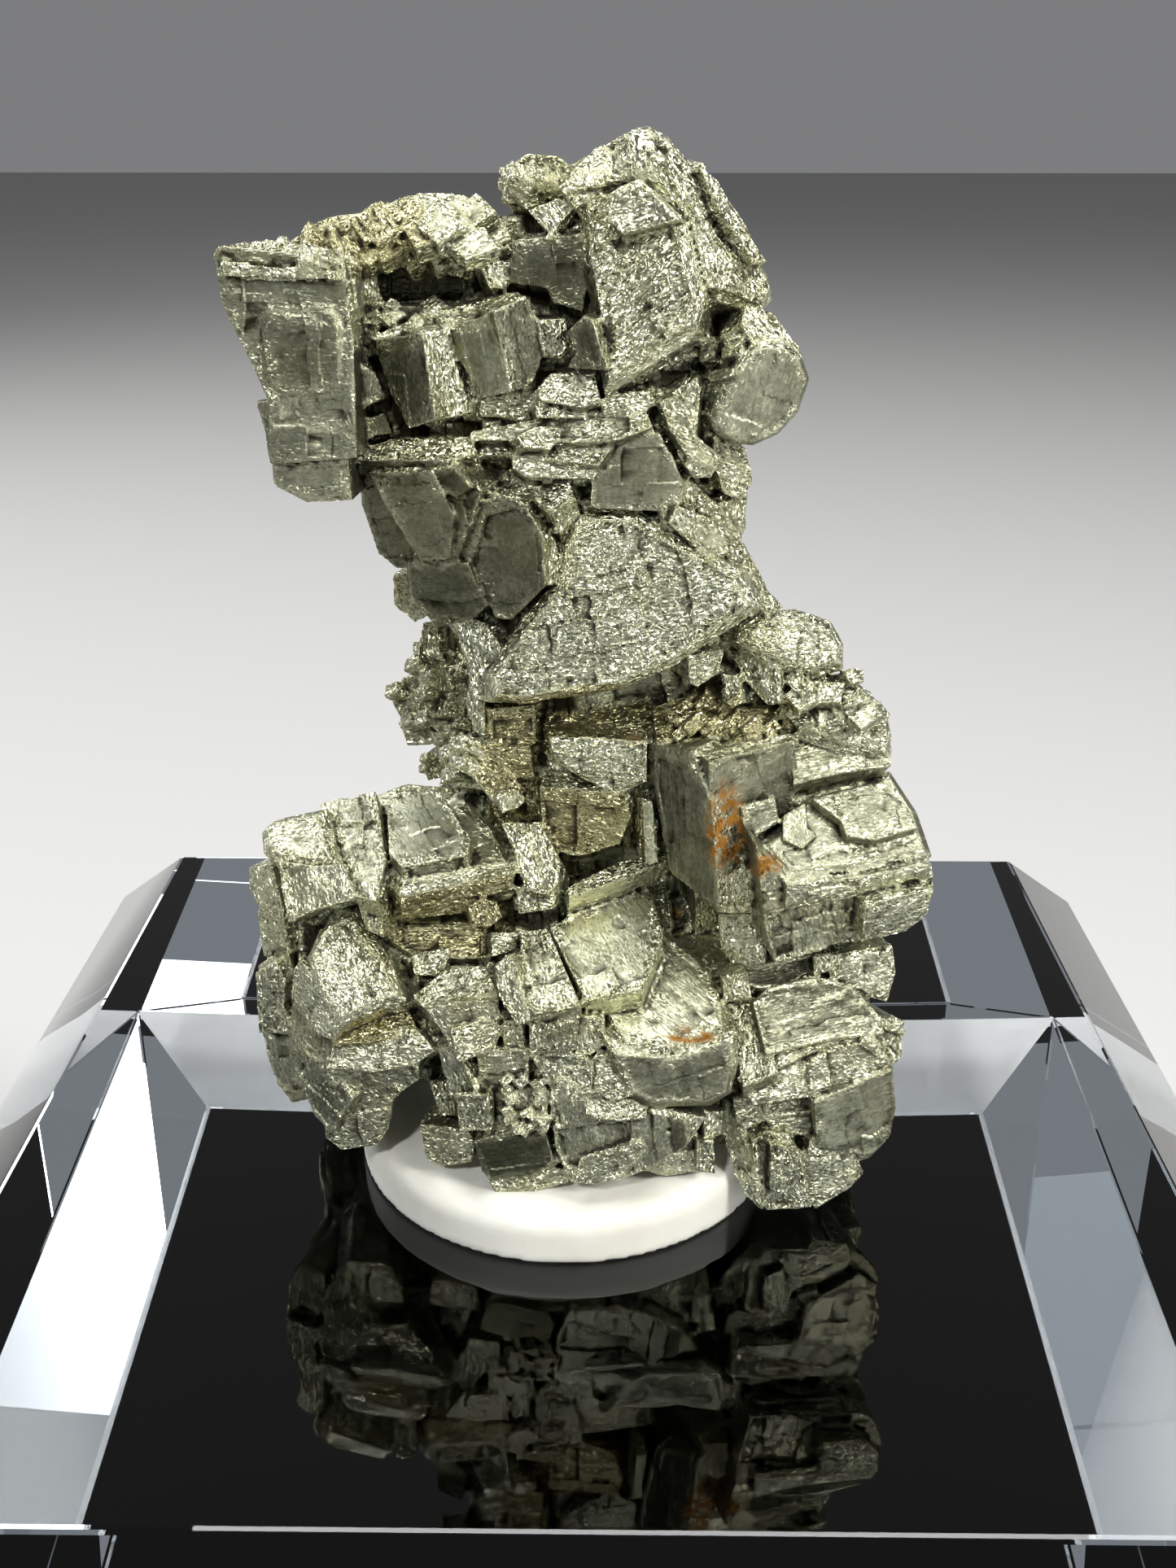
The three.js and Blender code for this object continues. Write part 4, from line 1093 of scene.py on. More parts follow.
@dataclass(frozen=True)
class GapFiller:
    """Rock between the crystals that closes narrow gaps a little below their faces.

    The crystals are grown by reach and shrunk by reach and sink, on a grid of cells,
    which leaves rock in gaps under twice the reach. Each hollow is a box, given by two
    opposite corners, that the rock leaves open.
    """

    cell: float = 0.34
    reach: float = 1.1
    sink: float = 0.95
    hollows: tuple = (((-9.4, -9, 44.4), (-5.6, -1, 46.9)), ((4.6, -8, 41.8), (6.6, -3, 44.8)))
    step_on: float = 1e-4
    smoothing: int = 3

    def build(self, bm: bmesh.types.BMesh) -> bpy.types.Mesh:
        """Makes the filling of a cluster.

        Args:
            bm: closed crystals, free to overlap.

        Returns:
            A closed mesh that lies inside the crystals and across the gaps.
        """
        spots = np.array([v.co[:] for v in bm.verts])
        margin = self.reach + 2 * self.cell
        low = spots.min(axis=0) - margin
        shape = np.ceil((spots.max(axis=0) + margin - low) / self.cell).astype(int)
        solid = self.occupied(BVHTree.FromBMesh(bm), low, shape)
        wide = self.spread(solid, self.reach / self.cell)
        narrow = ~self.spread(~wide, (self.reach + self.sink) / self.cell)
        for hollow in self.hollows:
            start, end = np.round((np.array(hollow) - low) / self.cell).astype(int)
            narrow[start[0] : end[0], start[1] : end[1], start[2] : end[2]] = False
        return self.skin(narrow, low)

    def occupied(self, tree: BVHTree, low: np.ndarray, shape: np.ndarray) -> np.ndarray:
        """Which cells of a grid have their middle inside the crystals.

        Args:
            tree: the crystals.
            low: lowest corner of the grid.
            shape: number of cells in each direction.

        Returns:
            The grid, True inside.
        """
        grid = np.zeros(shape, bool)
        up = Vector((0, 0, 1))
        heights = low[2] + (np.arange(shape[2]) + 0.5) * self.cell
        for i in range(shape[0]):
            for j in range(shape[1]):
                x, y = low[0] + (i + 0.5) * self.cell, low[1] + (j + 0.5) * self.cell
                start, inside, entered = Vector((x, y, low[2] - 1)), 0, 0.0
                while True:
                    hit, normal, _, _ = tree.ray_cast(start, up)
                    if hit is None:
                        break
                    before = inside
                    inside += 1 if normal.z < 0 else -1
                    if before <= 0 < inside:
                        entered = hit.z
                    if inside <= 0 < before:
                        grid[i, j, (heights > entered) & (heights < hit.z)] = True
                    start = hit + up * self.step_on
        return grid

    def spread(self, grid: np.ndarray, radius: float) -> np.ndarray:
        """Cells within a distance of the cells that are set.

        Args:
            grid: the cells.
            radius: the distance, in cells.

        Returns:
            The grown grid.
        """
        reach = int(radius)
        padded = np.pad(grid, reach)
        result = np.zeros_like(grid)
        steps = range(-reach, reach + 1)
        for step in ((i, j, k) for i in steps for j in steps for k in steps):
            if sum(part * part for part in step) <= radius * radius:
                starts = [reach + part for part in step]
                window = tuple(slice(start, start + size) for start, size in zip(starts, grid.shape))
                result |= padded[window]
        return result

    def skin(self, grid: np.ndarray, low: np.ndarray) -> bpy.types.Mesh:
        """Smoothed mesh round the cells that are set.

        Args:
            grid: the cells.
            low: lowest corner of the grid.

        Returns:
            A closed mesh of quads that look outwards.
        """
        count = np.array(grid.shape) + 1
        quads = []
        for axis in range(3):
            u, v = (axis + 1) % 3, (axis + 2) % 3
            for step in (1, -1):
                base = np.argwhere(grid & ~np.roll(grid, -step, axis))
                if step == 1:
                    base[:, axis] += 1
                corners = []
                for du, dv in ((0, 0), (1, 0), (1, 1), (0, 1))[::step]:
                    corner = base.copy()
                    corner[:, u] += du
                    corner[:, v] += dv
                    corners.append((corner[:, 0] * count[1] + corner[:, 1]) * count[2] + corner[:, 2])
                quads.append(np.stack(corners, axis=1))
        used, faces = np.unique(np.concatenate(quads), return_inverse=True)
        places = np.stack(np.unravel_index(used, count), axis=1) * self.cell + low
        mesh = bpy.data.meshes.new("filling")
        mesh.from_pydata(places.tolist(), [], faces.reshape(-1, 4).tolist())
        mesh.update()
        set_coordinates(mesh, relaxed(mesh, places, self.smoothing))
        return mesh


@dataclass(frozen=True)
class SmallGrowth:
    """Tiny blocks that sit on the big crystals, in patches in front and all over behind.

    farthest is the greatest y of those in front. Those behind lie where lines meet the
    cluster that start on a ring round it, which goes past both sides by past_side, in
    radians, and aim at its middle.
    """

    sight: Sight
    farthest: float = 2.0
    lean: tuple = (0.55, 0.45, 0.5)
    unrest: float = 0.18
    sink: float = 0.12
    behind: int = 420
    heights: tuple = (4, 50)
    past_side: float = 0.6
    ring: float = 60
    aim_wide: float = 9
    aim_deep: float = 6
    aim_rise: tuple = (-6, 2)
    size_share: tuple = (0.5, 1.0)
    largest: float = 2.4
    twist: float = 3
    vary_wide: float = 0.3
    vary_deep: float = 0.25
    flat: float = 0.6

    def sprinkle(self, bm: bmesh.types.BMesh, tree: BVHTree, druse: Druse,
                 random: np.random.Generator) -> None:
        """Sets tiny crystals where sight lines in a rectangle meet the cluster.

        Args:
            bm: bmesh that takes them.
            tree: the crystals that carry them.
            druse: the rectangle, and how many there are.
            random: source of random numbers.
        """
        lean = np.array(self.lean) * random.choice((-1, 1), 3)
        for _ in range(druse.count):
            x = random.uniform(druse.left, druse.right)
            z = random.uniform(druse.low, druse.high)
            hit, normal, _, _ = tree.ray_cast(Vector(self.sight.eye), self.sight.aim(x, z))
            size = random.uniform(druse.smallest, druse.largest)
            turn = random.uniform(-1, 1, 3)
            if hit is None or hit.y > self.farthest:
                continue
            upright = Euler(lean + self.unrest * turn).to_matrix().to_4x4()
            self.grain(bm, hit - normal * size * self.sink, upright, size, turn)

    def scatter(self, bm: bmesh.types.BMesh, tree: BVHTree, random: np.random.Generator) -> None:
        """Sets small crystals on the sides and the back.

        Args:
            bm: bmesh that takes them.
            tree: the crystals that carry them.
            random: source of random numbers.
        """
        for _ in range(self.behind):
            height = random.uniform(*self.heights)
            angle = random.uniform(-self.past_side, math.pi + self.past_side)
            start = Vector((math.cos(angle) * self.ring, math.sin(angle) * self.ring, height))
            across = random.uniform(-self.aim_wide, self.aim_wide)
            back = random.uniform(-self.aim_deep, self.aim_deep)
            aim = Vector((across, back, height + random.uniform(*self.aim_rise)))
            hit, normal, _, _ = tree.ray_cast(start, aim - start)
            size = random.uniform(*self.size_share) ** 2 * self.largest
            turn = random.uniform(-0.5, 0.5, 3)
            if hit is None or not self.hidden(tree, hit, size):
                continue
            twisted = Euler((0, 0, turn[2] * self.twist)).to_matrix()
            upright = normal.to_track_quat("Z", "Y").to_matrix() @ twisted
            self.grain(bm, hit, upright.to_4x4(), size, turn)

    def hidden(self, tree: BVHTree, place: Vector, size: float) -> bool:
        """Whether the cluster itself hides a small crystal from the eye.

        Args:
            tree: the cluster.
            place: middle of the small crystal.
            size: its size.

        Returns:
            True where all four of its corners are hidden.
        """
        eye = Vector(self.sight.eye)
        for x in (-1, 1):
            for z in (-1, 1):
                aim = place + Vector((x * size, 0, z * size)) - eye
                _, _, _, reach = tree.ray_cast(eye, aim)
                if reach is None or reach > aim.length - size:
                    return False
        return True

    def grain(self, bm: bmesh.types.BMesh, place: Vector, upright: Matrix, size: float,
              turn: np.ndarray) -> None:
        """Adds one tiny block, sunk in the face that it grows from.

        Args:
            bm: bmesh that takes it.
            place: its middle.
            upright: its turn.
            size: its usual size.
            turn: random numbers that vary its sides.
        """
        wide, deep = size * (1 + self.vary_wide * turn[1]), size * (1 - self.vary_deep * turn[2])
        shape = Matrix.Diagonal((wide, deep, size * self.flat, 1))
        bmesh.ops.create_cube(bm, size=1.0, matrix=Matrix.Translation(place) @ upright @ shape)


@dataclass(frozen=True)
class Plates:
    """Thin rectangular plates of a usual size, scattered over a face."""

    cell: float
    seed: int
    most: int = 3
    least_long: float = 0.25
    more_long: float = 0.5
    least_wide: float = 0.2
    more_wide: float = 0.4

    def over(self, u: np.ndarray, v: np.ndarray, seed: np.ndarray) -> tuple:
        """How many plates lie over each place.

        Args:
            u: places along the face.
            v: places across it.
            seed: whole number of the face of each place.

        Returns:
            The number of plates, less its usual value, and a number from 0 to 1 that
            belongs to the uppermost plate.
        """
        seed, cell = seed + self.seed, self.cell
        column, row = np.floor(u / cell), np.floor(v / cell)
        count, shade = np.zeros(len(u)), np.full(len(u), 0.5)
        for i in (-1, 0, 1):
            for j in (-1, 0, 1):
                a, b = column + i, row + j
                rolls = [lattice(seed + 101 * turn, a, b) for turn in range(5)]
                mid_u, mid_v = (a + rolls[0]) * cell, (b + rolls[1]) * cell
                half_u = cell * (self.least_long + self.more_long * rolls[2])
                half_v = cell * (self.least_wide + self.more_wide * rolls[3])
                covered = (np.abs(u - mid_u) < half_u) & (np.abs(v - mid_v) < half_v)
                count += covered
                shade = np.where(covered, rolls[4], shade)
        return np.minimum(count, self.most) - 1, shade


BROAD_PLATES = Plates(3.6, 1)
SMALL_PLATES = Plates(1.5, 2)


@dataclass
class SkinMap:
    """Place of each point of a skin on the flat faces under it.

    away is how far the point is from its flat face, and u and v are its places along
    and across that face.
    """

    mesh: bpy.types.Mesh
    sheet: FaceSheet
    tree: BVHTree
    seed: int
    seeds_per_face: int = 13
    fray: tuple = (Wave(1, 1.4, 0.26), Wave(2, 4.1, 0.10))
    fray_across: Wave = Wave(3, 1.6, 0.26)
    points: np.ndarray = field(init=False)
    owner: np.ndarray = field(init=False)
    away: np.ndarray = field(init=False)
    u: np.ndarray = field(init=False)
    v: np.ndarray = field(init=False)

    def __post_init__(self) -> None:
        """Finds the nearest flat face of each point and the point's place on it."""
        self.points = coordinates(self.mesh)
        found = [self.tree.find_nearest(point)[2:] for point in self.points.tolist()]
        nearest, away = zip(*found)
        self.owner, self.away = self.sheet.group[np.array(nearest)], np.array(away)
        offset = self.points - self.sheet.middle[self.owner]
        self.u = row_dots(offset, self.sheet.along[self.owner])
        self.v = row_dots(offset, self.sheet.across[self.owner])

    def cloud(self, seed: int, scale: float) -> np.ndarray:
        """Smooth random field from 0 to 1 at the points."""
        return noise(seed, *(self.points.T * scale))

    def face_seed(self) -> np.ndarray:
        """Whole number of each point's flat face, for its own random patterns."""
        return self.owner * self.seeds_per_face + self.seed

    def frayed(self) -> tuple:
        """Places along and across the faces, pushed about a little, and the push along."""
        push = sum(wave.at(*self.points.T) for wave in self.fray)
        return self.u + push, self.v + self.fray_across.at(*self.points.T), push

    def hollow(self, rounds: int) -> np.ndarray:
        """How deep each point lies under the skin smoothed a number of times."""
        smoothed = relaxed(self.mesh, self.points, rounds)
        return row_dots(smoothed - self.points, normals(self.mesh))


@dataclass(frozen=True)
class Relief:
    """Growth steps, plates, pits, crumple and dark joints worked into the flat faces.

    A depth or a step is in millimetres, a scale is a number of pattern cells in one,
    and a band or spread holds the values where a pattern starts and where it is full.
    """

    plate_step: float = 0.15
    small_plate_step: float = 0.05
    small_plate_share: float = 0.5
    growth_seeds: tuple = (3, 4)
    growth_scale: float = 0.5
    growth_levels: float = 2.4
    growth_middle: float = 0.8
    growth_step: float = 0.06
    rim_reach: float = 2.5
    rim_band: tuple = (0.10, 0.30)
    rim_fray: float = 0.2
    nick_seed: int = 11
    nick_scale: float = 1.1
    nick_spread: tuple = (0.68, 0.73)
    nick_band: tuple = (0.45, 0.1)
    nick_depth: float = 0.16
    line_seed: int = 5
    line_scale: float = 3.4
    line_spot_seed: int = 6
    line_spot_scale: float = 0.4
    line_spread: tuple = (0.5, 0.62)
    line_depth: float = 0.05
    crumple: tuple = (Wave(7, 2.1, 0.025), Wave(8, 4.6, 0.02))
    foil_face: float = 0.9
    foil_crumple: float = 2.0
    other_crumple: float = 0.4
    swell: Wave = Wave(9, 0.45, 0.08)
    pit_seed: int = 10
    pit_scale: float = 1.1
    pit_spread: tuple = (0.88, 0.90)
    pit_depth: float = 0.10
    small_face: float = 1.0
    big_face: float = 5.0
    least_relief: float = 0.2
    face_band: tuple = (0.3, 0.1)
    rubble_seed: int = 51
    rubble_block: tuple = (0.8, 0.9, 0.7)
    rubble_skew: tuple = (0.3, 0.2)
    rubble_depth: float = 0.5
    rubble_band: tuple = (0.08, 0.35)
    joint_rounds: int = 8
    joint_band: tuple = (0.03, 0.10)
    joint_depth: float = 0.10
    softening: float = 0.08

    def carve(self, skin: SkinMap, kinds: np.ndarray) -> None:
        """Moves the points of a skin in and out.

        Args:
            skin: the skin and its places on the flat faces.
            kinds: kind of each flat face.
        """
        mesh, sheet, owner = skin.mesh, skin.sheet, skin.owner
        rim = sheet.rim(owner, skin.points, self.rim_reach)
        u, v, push = skin.frayed()
        inner = smooth_step(*self.rim_band, rim + push * self.rim_fray)
        height = self.steps(skin, u, v) * inner
        nicks = smooth_step(*self.nick_spread, skin.cloud(self.nick_seed, self.nick_scale))
        height -= self.nick_depth * nicks * smooth_step(*self.nick_band, rim)
        height += self.lines(skin, v)
        foil = np.array([LOOKS[kind].foil for kind in kinds])[owner] > self.foil_face
        crumple = sum(wave.at(*skin.points.T) for wave in self.crumple)
        height += crumple * np.where(foil, self.foil_crumple, self.other_crumple)
        height += self.swell.at(*skin.points.T)
        height -= self.pits(skin) * inner
        size = smooth_step(self.small_face, self.big_face, np.sqrt(sheet.area))
        size *= [LOOKS[kind].relief for kind in kinds]
        share = (self.least_relief + (1 - self.least_relief) * size)[owner]
        height *= share * smooth_step(*self.face_band, skin.away)
        height -= self.rubble(skin)
        height -= self.joint_depth * smooth_step(*self.joint_band, skin.hollow(self.joint_rounds))
        set_coordinates(mesh, skin.points + normals(mesh) * height[:, None])
        points = coordinates(mesh)
        softer = relaxed(mesh, points, 1) * self.softening
        set_coordinates(mesh, points * (1 - self.softening) + softer)

    def steps(self, skin: SkinMap, u: np.ndarray, v: np.ndarray) -> np.ndarray:
        """Height of the plates and growth steps.

        Args:
            skin: the skin.
            u: frayed places along the faces.
            v: frayed places across them.

        Returns:
            One height for each point.
        """
        seed = skin.face_seed()
        pick = lattice(seed, np.zeros(len(seed)))
        small = SMALL_PLATES.over(u, v, seed)[0]
        height = self.plate_step * BROAD_PLATES.over(u, v, seed)[0]
        height += self.small_plate_step * np.where(pick < self.small_plate_share, small, 0)
        along, across = (seed + shift for shift in self.growth_seeds)
        steps = noise(along, u * self.growth_scale) + noise(across, v * self.growth_scale)
        level = np.floor(steps * self.growth_levels) / self.growth_levels
        return height + self.growth_step * (level - self.growth_middle)

    def lines(self, skin: SkinMap, v: np.ndarray) -> np.ndarray:
        """Height of fine growth lines, which run along the faces in spots.

        Args:
            skin: the skin.
            v: frayed places across the faces.

        Returns:
            One height for each point.
        """
        seed = skin.face_seed()
        scale = self.line_spot_scale
        spots = noise(seed + self.line_spot_seed, skin.u * scale, skin.v * scale)
        lines = noise(seed + self.line_seed, v * self.line_scale) - 0.5
        return self.line_depth * lines * smooth_step(*self.line_spread, spots)

    def pits(self, skin: SkinMap) -> np.ndarray:
        """Depth of small pits with sharp walls.

        Args:
            skin: the skin.

        Returns:
            One depth for each point.
        """
        seed = skin.face_seed() + self.pit_seed
        cloud = noise(seed, skin.u * self.pit_scale, skin.v * self.pit_scale)
        return self.pit_depth * smooth_step(*self.pit_spread, cloud)

    def rubble(self, skin: SkinMap) -> np.ndarray:
        """Depth of the skewed blocks that break up the rock in the gaps.

        Args:
            skin: the skin.

        Returns:
            One depth for each point.
        """
        x, y, z = skin.points.T
        wide, deep, tall = self.rubble_block
        column = np.floor(x / wide + y * self.rubble_skew[0])
        row = np.floor(y / deep + z * self.rubble_skew[1])
        blocks = lattice(self.rubble_seed, column, row, np.floor(z / tall))
        return self.rubble_depth * blocks * smooth_step(*self.rubble_band, skin.away)


@dataclass(frozen=True)
class Labels:
    """What the finish reads from the skin: tone, foil, gold, crevice, rust and grain.

    A band, spread or edge holds the values where a change starts and where it is full.
    Any other pair is for dim faces, which are the dark and the dull ones, and for the
    rest. The tone holds painted light on faces that look right and up and painted
    highlights along the rims of faces, and crevice_shade holds painted shade.
    """

    tone_scatter: float = 0.18
    painted_light_by_slope: float = 0.08
    least_foil: float = 0.7
    foil_scatter: float = 0.6
    narrow_foil: tuple = (0.0, 0.3)
    narrow_band: tuple = (4.5, 2.0)
    rim_reach: float = 1.2
    wear_and_sheen_band: tuple = (0.62, 0.08)
    wear_and_sheen_seed: int = 21
    wear_and_sheen_scale: float = 1.5
    wear_and_sheen_middle: float = 0.4
    wear_and_sheen_fray: float = 0.8
    wear_and_sheen_share: tuple = (0.45, 1.0)
    wear_and_sheen_tone: float = 0.35
    wear_and_sheen_foil: float = 0.6
    wear_and_sheen_gold: float = 0.25
    warm_seed: int = 23
    warm_scale: float = 0.4
    warm_spread: tuple = (0.5, 0.75)
    warm_gold: tuple = (0.1, 0.35)
    small_plate_share: float = 0.6
    plate_middle: float = 0.8
    plate_tone: tuple = (0.15, 0.35)
    joint_rounds: int = 6
    joint_band: tuple = (0.02, 0.09)
    rock_shade_band: tuple = (0.1, 0.4)
    hollow_shade: float = 0.8
    hollow_fade: float = 0.6
    hollow_edge: tuple = (1.2, 0.8)
    rust_edge: tuple = (1.3, 0.4)
    front: float = 0.2
    grain_shift: float = 0.37

    def store(self, skin: SkinMap, kinds: np.ndarray, sight: Sight) -> None:
        """Stores one value or vector of each sort for each point.

        Args:
            skin: the finished skin and its places on the flat faces.
            kinds: kind of each flat face.
            sight: plane on which hollows and rust are placed.
        """
        mesh, owner = skin.mesh, skin.owner
        dim = np.array([kind in (Kind.DARK, Kind.DULL) for kind in kinds])
        tone, foil = self.face_values(skin, kinds, dim)
        dim = dim[owner]
        rim = skin.sheet.rim(owner, skin.points, self.rim_reach)
        # painted highlight along the rims: a frayed band by each face's border is lightened, made more
        # foil-like and more golden; it stands partly for rubbed edges and partly for their highlights
        fray = self.wear_and_sheen_fray * (skin.cloud(self.wear_and_sheen_seed, self.wear_and_sheen_scale) - self.wear_and_sheen_middle)
        worn = smooth_step(*self.wear_and_sheen_band, rim + fray) * np.where(dim, *self.wear_and_sheen_share)
        shade = self.plate_shade(skin) * np.where(dim, *self.plate_tone)
        put_values(mesh, "tone", np.clip(tone[owner] + shade + self.wear_and_sheen_tone * worn, 0, 1))
        put_values(mesh, "foil", np.clip(foil[owner] + self.wear_and_sheen_foil * worn, 0, 1))
        golden = np.where([kind == Kind.GOLD for kind in kinds], 1.0, 0.0)[owner]
        warm = smooth_step(*self.warm_spread, skin.cloud(self.warm_seed, self.warm_scale))
        warm = np.where(dim, *self.warm_gold) * warm
        put_values(mesh, "gold", np.maximum(golden, warm + self.wear_and_sheen_gold * worn))
        seen = sight.seen(skin.points)
        # painted shade for the joints, the rock in the gaps and the hollows
        put_values(mesh, "crevice_shade", self.crevice_shade(skin, seen))
        put_values(mesh, "rust", self.rust(skin, seen))
        put_vectors(mesh, "grain", np.stack([skin.u, skin.v, owner * self.grain_shift], axis=1))

    def face_values(self, skin: SkinMap, kinds: np.ndarray, dim: np.ndarray) -> tuple:
        """Tone and foil of each flat face, by its kind, slope and size.

        Args:
            skin: the skin.
            kinds: kind of each flat face.
            dim: which flat faces are dark or dull.

        Returns:
            The tones and the foil values.
        """
        sheet, number = skin.sheet, np.arange(len(kinds))
        tone = np.array([LOOKS[kind].tone for kind in kinds])
        tone = tone + self.tone_scatter * (lattice(skin.seed, number) - 0.5)
        # painted light: faces that look right and up are made lighter
        tone += self.painted_light_by_slope * (sheet.normal[:, 0] + sheet.normal[:, 2])
        scatter = self.least_foil + self.foil_scatter * lattice(skin.seed + 1, number)
        foil = np.array([LOOKS[kind].foil for kind in kinds]) * scatter
        foil += np.where(dim, *self.narrow_foil) * smooth_step(*self.narrow_band, np.sqrt(sheet.area))
        return tone, foil

    def plate_shade(self, skin: SkinMap) -> np.ndarray:
        """How much brighter the uppermost plates are than the usual one.

        Args:
            skin: the skin.

        Returns:
            One number for each point, about 0.
        """
        u, v, _ = skin.frayed()
        seed = skin.face_seed()
        small = self.small_plate_share * SMALL_PLATES.over(u, v, seed)[1]
        return BROAD_PLATES.over(u, v, seed)[1] + small - self.plate_middle

    def crevice_shade(self, skin: SkinMap, seen: np.ndarray) -> np.ndarray:
        """How much painted shade darkens each point: in a joint, in the rock of a gap or in a hollow.

        Args:
            skin: the skin.
            seen: places of its points as seen.

        Returns:
            One value for each point.
        """
        joint = smooth_step(*self.joint_band, skin.hollow(self.joint_rounds))
        crevice_shade = np.maximum(joint, smooth_step(*self.rock_shade_band, skin.away))
        # painted shade inside the seen cavities
        for spot in SHADED_HOLLOWS:
            start, end = spot.depth - self.hollow_fade, spot.depth + self.hollow_fade
            inside = self.hollow_shade * smooth_step(*self.hollow_edge, spot.away(seen))
            crevice_shade = np.maximum(crevice_shade, inside * smooth_step(start, end, skin.points[:, 1]))
        return crevice_shade

    def rust(self, skin: SkinMap, seen: np.ndarray) -> np.ndarray:
        """How rusty each point is, on the front alone.

        Args:
            skin: the skin.
            seen: places of its points as seen.

        Returns:
            One value for each point.
        """
        rust = np.zeros(len(seen))
        front = normals(skin.mesh)[:, 1] < self.front
        for spot in RUST_SPOTS:
            rust = np.maximum(rust, smooth_step(*self.rust_edge, spot.away(seen)) * front)
        return rust


@dataclass
class PyriteCluster:
    """Intergrown crystals, worn and stepped, in one closed skin cut in slices."""

    voxel: float = 0.09
    most_triangles: int = 740000
    names: tuple = ("crystals_foot", "crystals_lower", "crystals_upper", "crystals_crown")
    weld: float = 1e-7
    sharp: float = 26
    front: float = -3
    seed: int = 7
    sight: Sight = field(default_factory=Sight)
    relief: Relief = field(default_factory=Relief)
    labels: Labels = field(default_factory=Labels)
    finish: PyriteFinish = field(default_factory=PyriteFinish)

    def build(self, node: bpy.types.Object) -> list:
        """Makes the finished cluster.

        Args:
            node: the cluster's CAD node, which it stands for.

        Returns:
            The pieces of the cluster, from its foot up, in the row frame.
        """
        sheet = FaceSheet(self.crystals(node))
        tree = BVHTree.FromBMesh(sheet.bm)
        crystals = sheet.bm.copy()
        filling = GapFiller().build(crystals)
        crystals.from_mesh(filling)
        bpy.data.meshes.remove(filling)
        LOG.info("gaps filled")
        body = object_from(crystals, "crystals")
        remesh(body, self.voxel * (1))
        self.keep_biggest(body.data)
        LOG.info("remeshed into %d points", len(body.data.vertices))
        kinds = self.kinds(sheet)
        self.relief.carve(SkinMap(body.data, sheet, tree, self.seed), kinds)
        self.thin(body)
        self.labels.store(SkinMap(body.data, sheet, tree, self.seed), kinds, self.sight)
        sheet.bm.free()
        pieces = self.split(body)
        material = self.finish.material()
        for piece in pieces:
            piece.data.transform(Matrix.Translation((0, 0, BLOCK_HEIGHT * MM)) @ Matrix.Scale(MM, 4))
            piece.data.set_sharp_from_angle(angle=math.radians(self.sharp))
            coat(piece, material)
        return pieces

    def crystals(self, node: bpy.types.Object) -> bmesh.types.BMesh:
        """The CAD solid with the small crystals added, in millimetres.

        Args:
            node: the cluster's CAD node.

        Returns:
            Closed crystals that overlap.
        """
        bm = bmesh.new()
        bm.from_mesh(node.data)
        bmesh.ops.remove_doubles(bm, verts=bm.verts, dist=self.weld)
        to_local = Matrix.Translation((0, 0, -BLOCK_HEIGHT)) @ Matrix.Scale(1 / MM, 4)
        bmesh.ops.transform(bm, matrix=to_local, verts=bm.verts)
        for crystal in SMALL_CRYSTALS:
            crystal.add_to(bm, self.sight)
        in_order(bm)
        tree = BVHTree.FromBMesh(bm)
        random = np.random.default_rng(self.seed)
        growth = SmallGrowth(self.sight)
        for druse in DRUSES:
            growth.sprinkle(bm, tree, druse, random)
        growth.scatter(bm, tree, random)
        in_order(bm)
        return bm

    def keep_biggest(self, mesh: bpy.types.Mesh) -> None:
        """Takes away every loose part but the one with the most points.

        Args:
            mesh: the skin.
        """
        bm = bmesh.new()
        bm.from_mesh(mesh)
        bm.verts.ensure_lookup_table()
        seen = np.zeros(len(bm.verts), bool)
        islands = []
        for vert in bm.verts:
            if seen[vert.index]:
                continue
            seen[vert.index] = True
            queue, island = [vert], []
            while queue:
                here = queue.pop()
                island.append(here)
                for edge in here.link_edges:
                    other = edge.other_vert(here)
                    if not seen[other.index]:
                        seen[other.index] = True
                        queue.append(other)
            islands.append(island)
        islands.sort(key=len)
        for island in islands[:-1]:
            bmesh.ops.delete(bm, geom=island, context="VERTS")
        bm.to_mesh(mesh)
        bm.free()

    def kinds(self, sheet: FaceSheet) -> np.ndarray:
        """Kind of each flat face, by where it is seen.

        Args:
            sheet: the flat faces.

        Returns:
            One kind for each, plain for those far from the front.
        """
        kinds = np.full(len(sheet.area), Kind.PLAIN, object)
        seen = self.sight.seen(sheet.middle)
        for number in np.nonzero(sheet.middle[:, 1] <= self.front)[0]:
            for patch in PATCHES:
                if patch.holds(*seen[number]):
                    kinds[number] = patch.kind
        return kinds

    def thin(self, body: bpy.types.Object) -> None:
        """Takes out points where the skin is flat.

        Args:
            body: the skin's object.
        """
        now = sum(len(face.vertices) - 2 for face in body.data.polygons)
        thin = body.modifiers.new("thin", "DECIMATE")
        thin.ratio = min(1.0, self.most_triangles / now)
        thin.use_collapse_triangulate = True
        settle(body)
        LOG.info("thinned from %d to %d triangles", now, len(body.data.polygons))

    def split(self, body: bpy.types.Object) -> list:
        """Cuts the cluster into closed slices with about as many points each.

        Args:
            body: the skin's object, which is removed.

        Returns:
            One object for each slice, from the foot up.
        """
        share = np.arange(1, len(self.names)) / len(self.names)
        levels = [None, *np.quantile(coordinates(body.data)[:, 2], share), None]
        pieces = []
        for name, low, high in zip(self.names, levels, levels[1:]):
            bm = bmesh.new()
            bm.from_mesh(body.data)
            for height, outward in ((low, -1), (high, 1)):
                if height is not None:
                    self.cut(bm, height, outward)
            pieces.append(object_from(bm, name))
        bpy.data.objects.remove(body)
        return pieces

